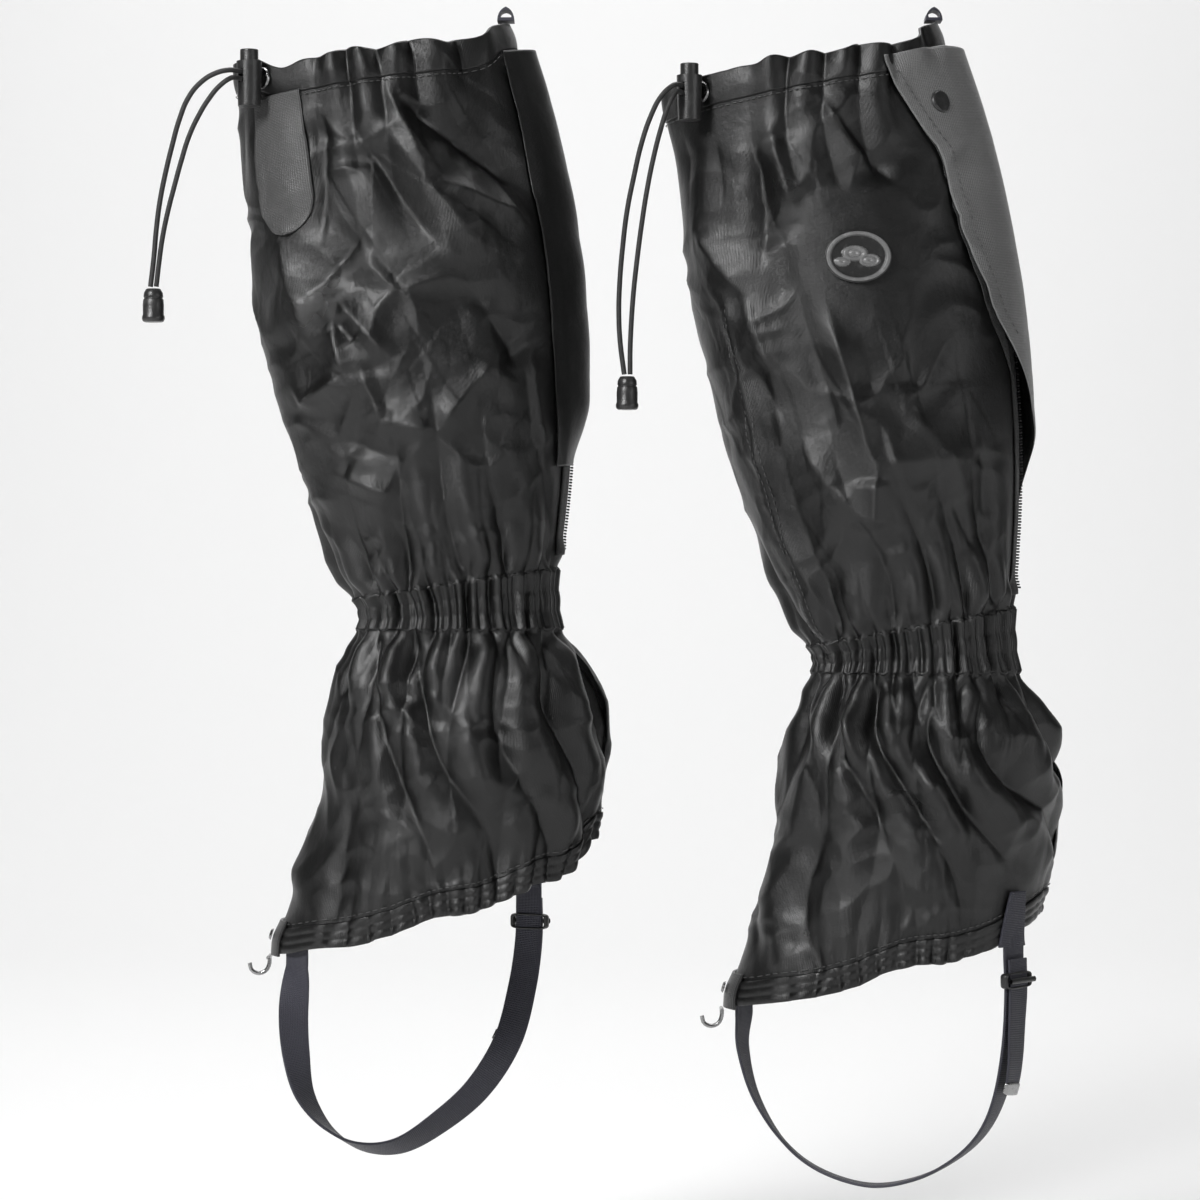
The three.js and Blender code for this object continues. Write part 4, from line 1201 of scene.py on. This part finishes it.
def addStitches(leg):
    bm = bmesh.new()
    s = shellSettings

    def underChannel(share):
        return leg.edgeAt(leg.topEdge, share * 360) - s["channel"] - 0.0016, share * 360

    def overHem(share):
        return leg.edgeAt(leg.hemEdge, share * 360) + s["hem"] + 0.0018, share * 360

    stitchRow(bm, leg, underChannel, 0.37)
    stitchRow(bm, leg, overHem, 0.36)
    low, high = flapSpan(leg)
    if leg.side == "left":
        for apart in (-1.2, 1.2):
            stitchRow(bm, leg, lambda share, apart=apart: (mix(0.175, 0.014, share), -152 + apart), 0.16)
    finishPiece(leg.side + "Stitches", bm, threadMaterial, leg.body, "nylon")
    bm = bmesh.new()
    turns = flapTurns(leg)

    def insideEdge(share):
        height = mix(low + 0.075, high - 0.003, share)
        start, stop = turns(height)
        return height, (stop - 4.5 if leg.outer > 0 else start + 4.5)

    stitchRow(bm, leg, insideEdge, high - low - 0.078,
              lambda degrees, height: flapLift(leg, degrees, height) + 0.0008)
    finishPiece(leg.side + "FlapStitches", bm, threadMaterial, leg.side + "_storm_flap", "nylon")


for side in sides:
    addStitches(legs[side])
print("stitches sewn")


# zip down the heel: two tapes' width of ribbed cloth and two rows of interlocked teeth
zipSettings = {"half": 12.5, "low": 0.017, "below": 0.032, "pitch": 0.0014,
               "tooth": (0.0021, 0.0007, 0.00085)}


def addZip(leg):
    high = leg.edgeAt(leg.topEdge, 0) - zipSettings["below"]
    low = zipSettings["low"]

    def turns(height):
        half = math.degrees(zipSettings["half"] / 1000 / 0.052)  # 52 mm is the leg's radius there
        return -half, half

    def liftAt(across, up, degrees, height):
        return 0.0004 + 0.0002 * abs(math.sin(across * 40))

    bm = wrapSheet(leg, 150, 20, turns, lambda across: (low, high), liftAt)
    tape = finishPiece(leg.side + "ZipTape", bm, elasticCloth, leg.body, "elastic", [leg.node("zip_tape")])
    thicken(tape, 0.0006)
    bm = bmesh.new()
    long, deep, tall = zipSettings["tooth"]
    count = int((high - low - 0.006) / zipSettings["pitch"])
    for index in range(count):
        side = 1 if index % 2 else -1
        height = low + 0.003 + index * zipSettings["pitch"]
        foot = leg.skin(height, 0, foldLift(leg, height, 0) + 0.0014)
        out, up = leg.normal(height, 0), (leg.skin(height + 0.001, 0) - leg.skin(height, 0)).normalized()
        across = up.cross(out)
        turned = Matrix((across, up, out)).transposed().to_4x4()
        place = Matrix.Translation(foot + across * side * 0.0008) @ turned
        sized = Matrix.Diagonal((long, tall, deep, 1)) @ Matrix.Scale(0.5, 4, (0, 1, 0))
        bmesh.ops.create_cube(bm, size=2, matrix=place @ sized)
    bmesh.ops.recalc_face_normals(bm, faces=bm.faces)
    teeth = finishPiece(leg.side + "ZipTeeth", bm, plastic, leg.body, "plastic", [leg.node("zip_teeth")],
                        shade=False)
    roundEdges(teeth, 0.0002)


for side in sides:
    addZip(legs[side])
print("zips closed")


# floor and lights
stageSettings = {
    "floorDrop": 0.06, "front": -4.0, "wall": 1.6, "sweep": 1.2, "half": 5.0, "tall": 4.0, "floorGrey": 0.9,
    "key": 28, "fill": 4.0, "rim": 2.5, "wallLight": 60, "world": 0.08,
}


def sweepPlace(across, along):  # a floor that curves up into a wall
    s = stageSettings
    low = cadLow[2] - s["floorDrop"]
    x = (across - 0.5) * 2 * s["half"]
    if along < 0.4:
        return Vector((x, mix(s["front"], s["wall"], along / 0.4), low))
    if along < 0.7:
        angle = (along - 0.4) / 0.3 * math.pi / 2
        rise = (1 - math.cos(angle)) * s["sweep"]
        return Vector((x, s["wall"] + math.sin(angle) * s["sweep"], low + rise))
    return Vector((x, s["wall"] + s["sweep"], low + s["sweep"] + (along - 0.7) / 0.3 * s["tall"]))


def addFloor():
    paint = bpy.data.materials.new("floorPaint")
    paint.use_nodes = True
    shader = paint.node_tree.nodes["Principled BSDF"]
    value = stageSettings["floorGrey"]
    shader.inputs["Base Color"].default_value = (value, value, value, 1)
    shader.inputs["Roughness"].default_value = 0.7
    meshObject("floor", paramMesh(4, 60, sweepPlace), paint)


def addLight(name, place, aim, size, power):
    data = bpy.data.lights.new(name, "AREA")
    data.shape = "DISK"
    data.size = size
    data.energy = power
    light = addObject(name, data)
    light.location = place
    light.rotation_euler = (Vector(aim) - Vector(place)).to_track_quat("-Z", "Y").to_euler()


def addWorld():
    world = bpy.data.worlds.new("studio")
    world.use_nodes = True
    background = world.node_tree.nodes["Background"]
    background.inputs["Color"].default_value = (1, 1, 1, 1)
    background.inputs["Strength"].default_value = stageSettings["world"]
    bpy.context.scene.world = world


middle = (cameraSettings["centre"][0], 0, -0.25)
addFloor()
addWorld()
addLight("key", (-0.85, -1.15, 0.55), middle, 0.55, stageSettings["key"])
addLight("fill", (1.3, -1.0, -0.1), middle, 0.8, stageSettings["fill"])
addLight("rim", (0.3, 0.5, 1.0), middle, 0.6, stageSettings["rim"])
addLight("wall", (0, 0.9, 2.2), (0, 2.6, -0.1), 2.2, stageSettings["wallLight"])
bpy.context.scene.view_settings.view_transform = "Standard"
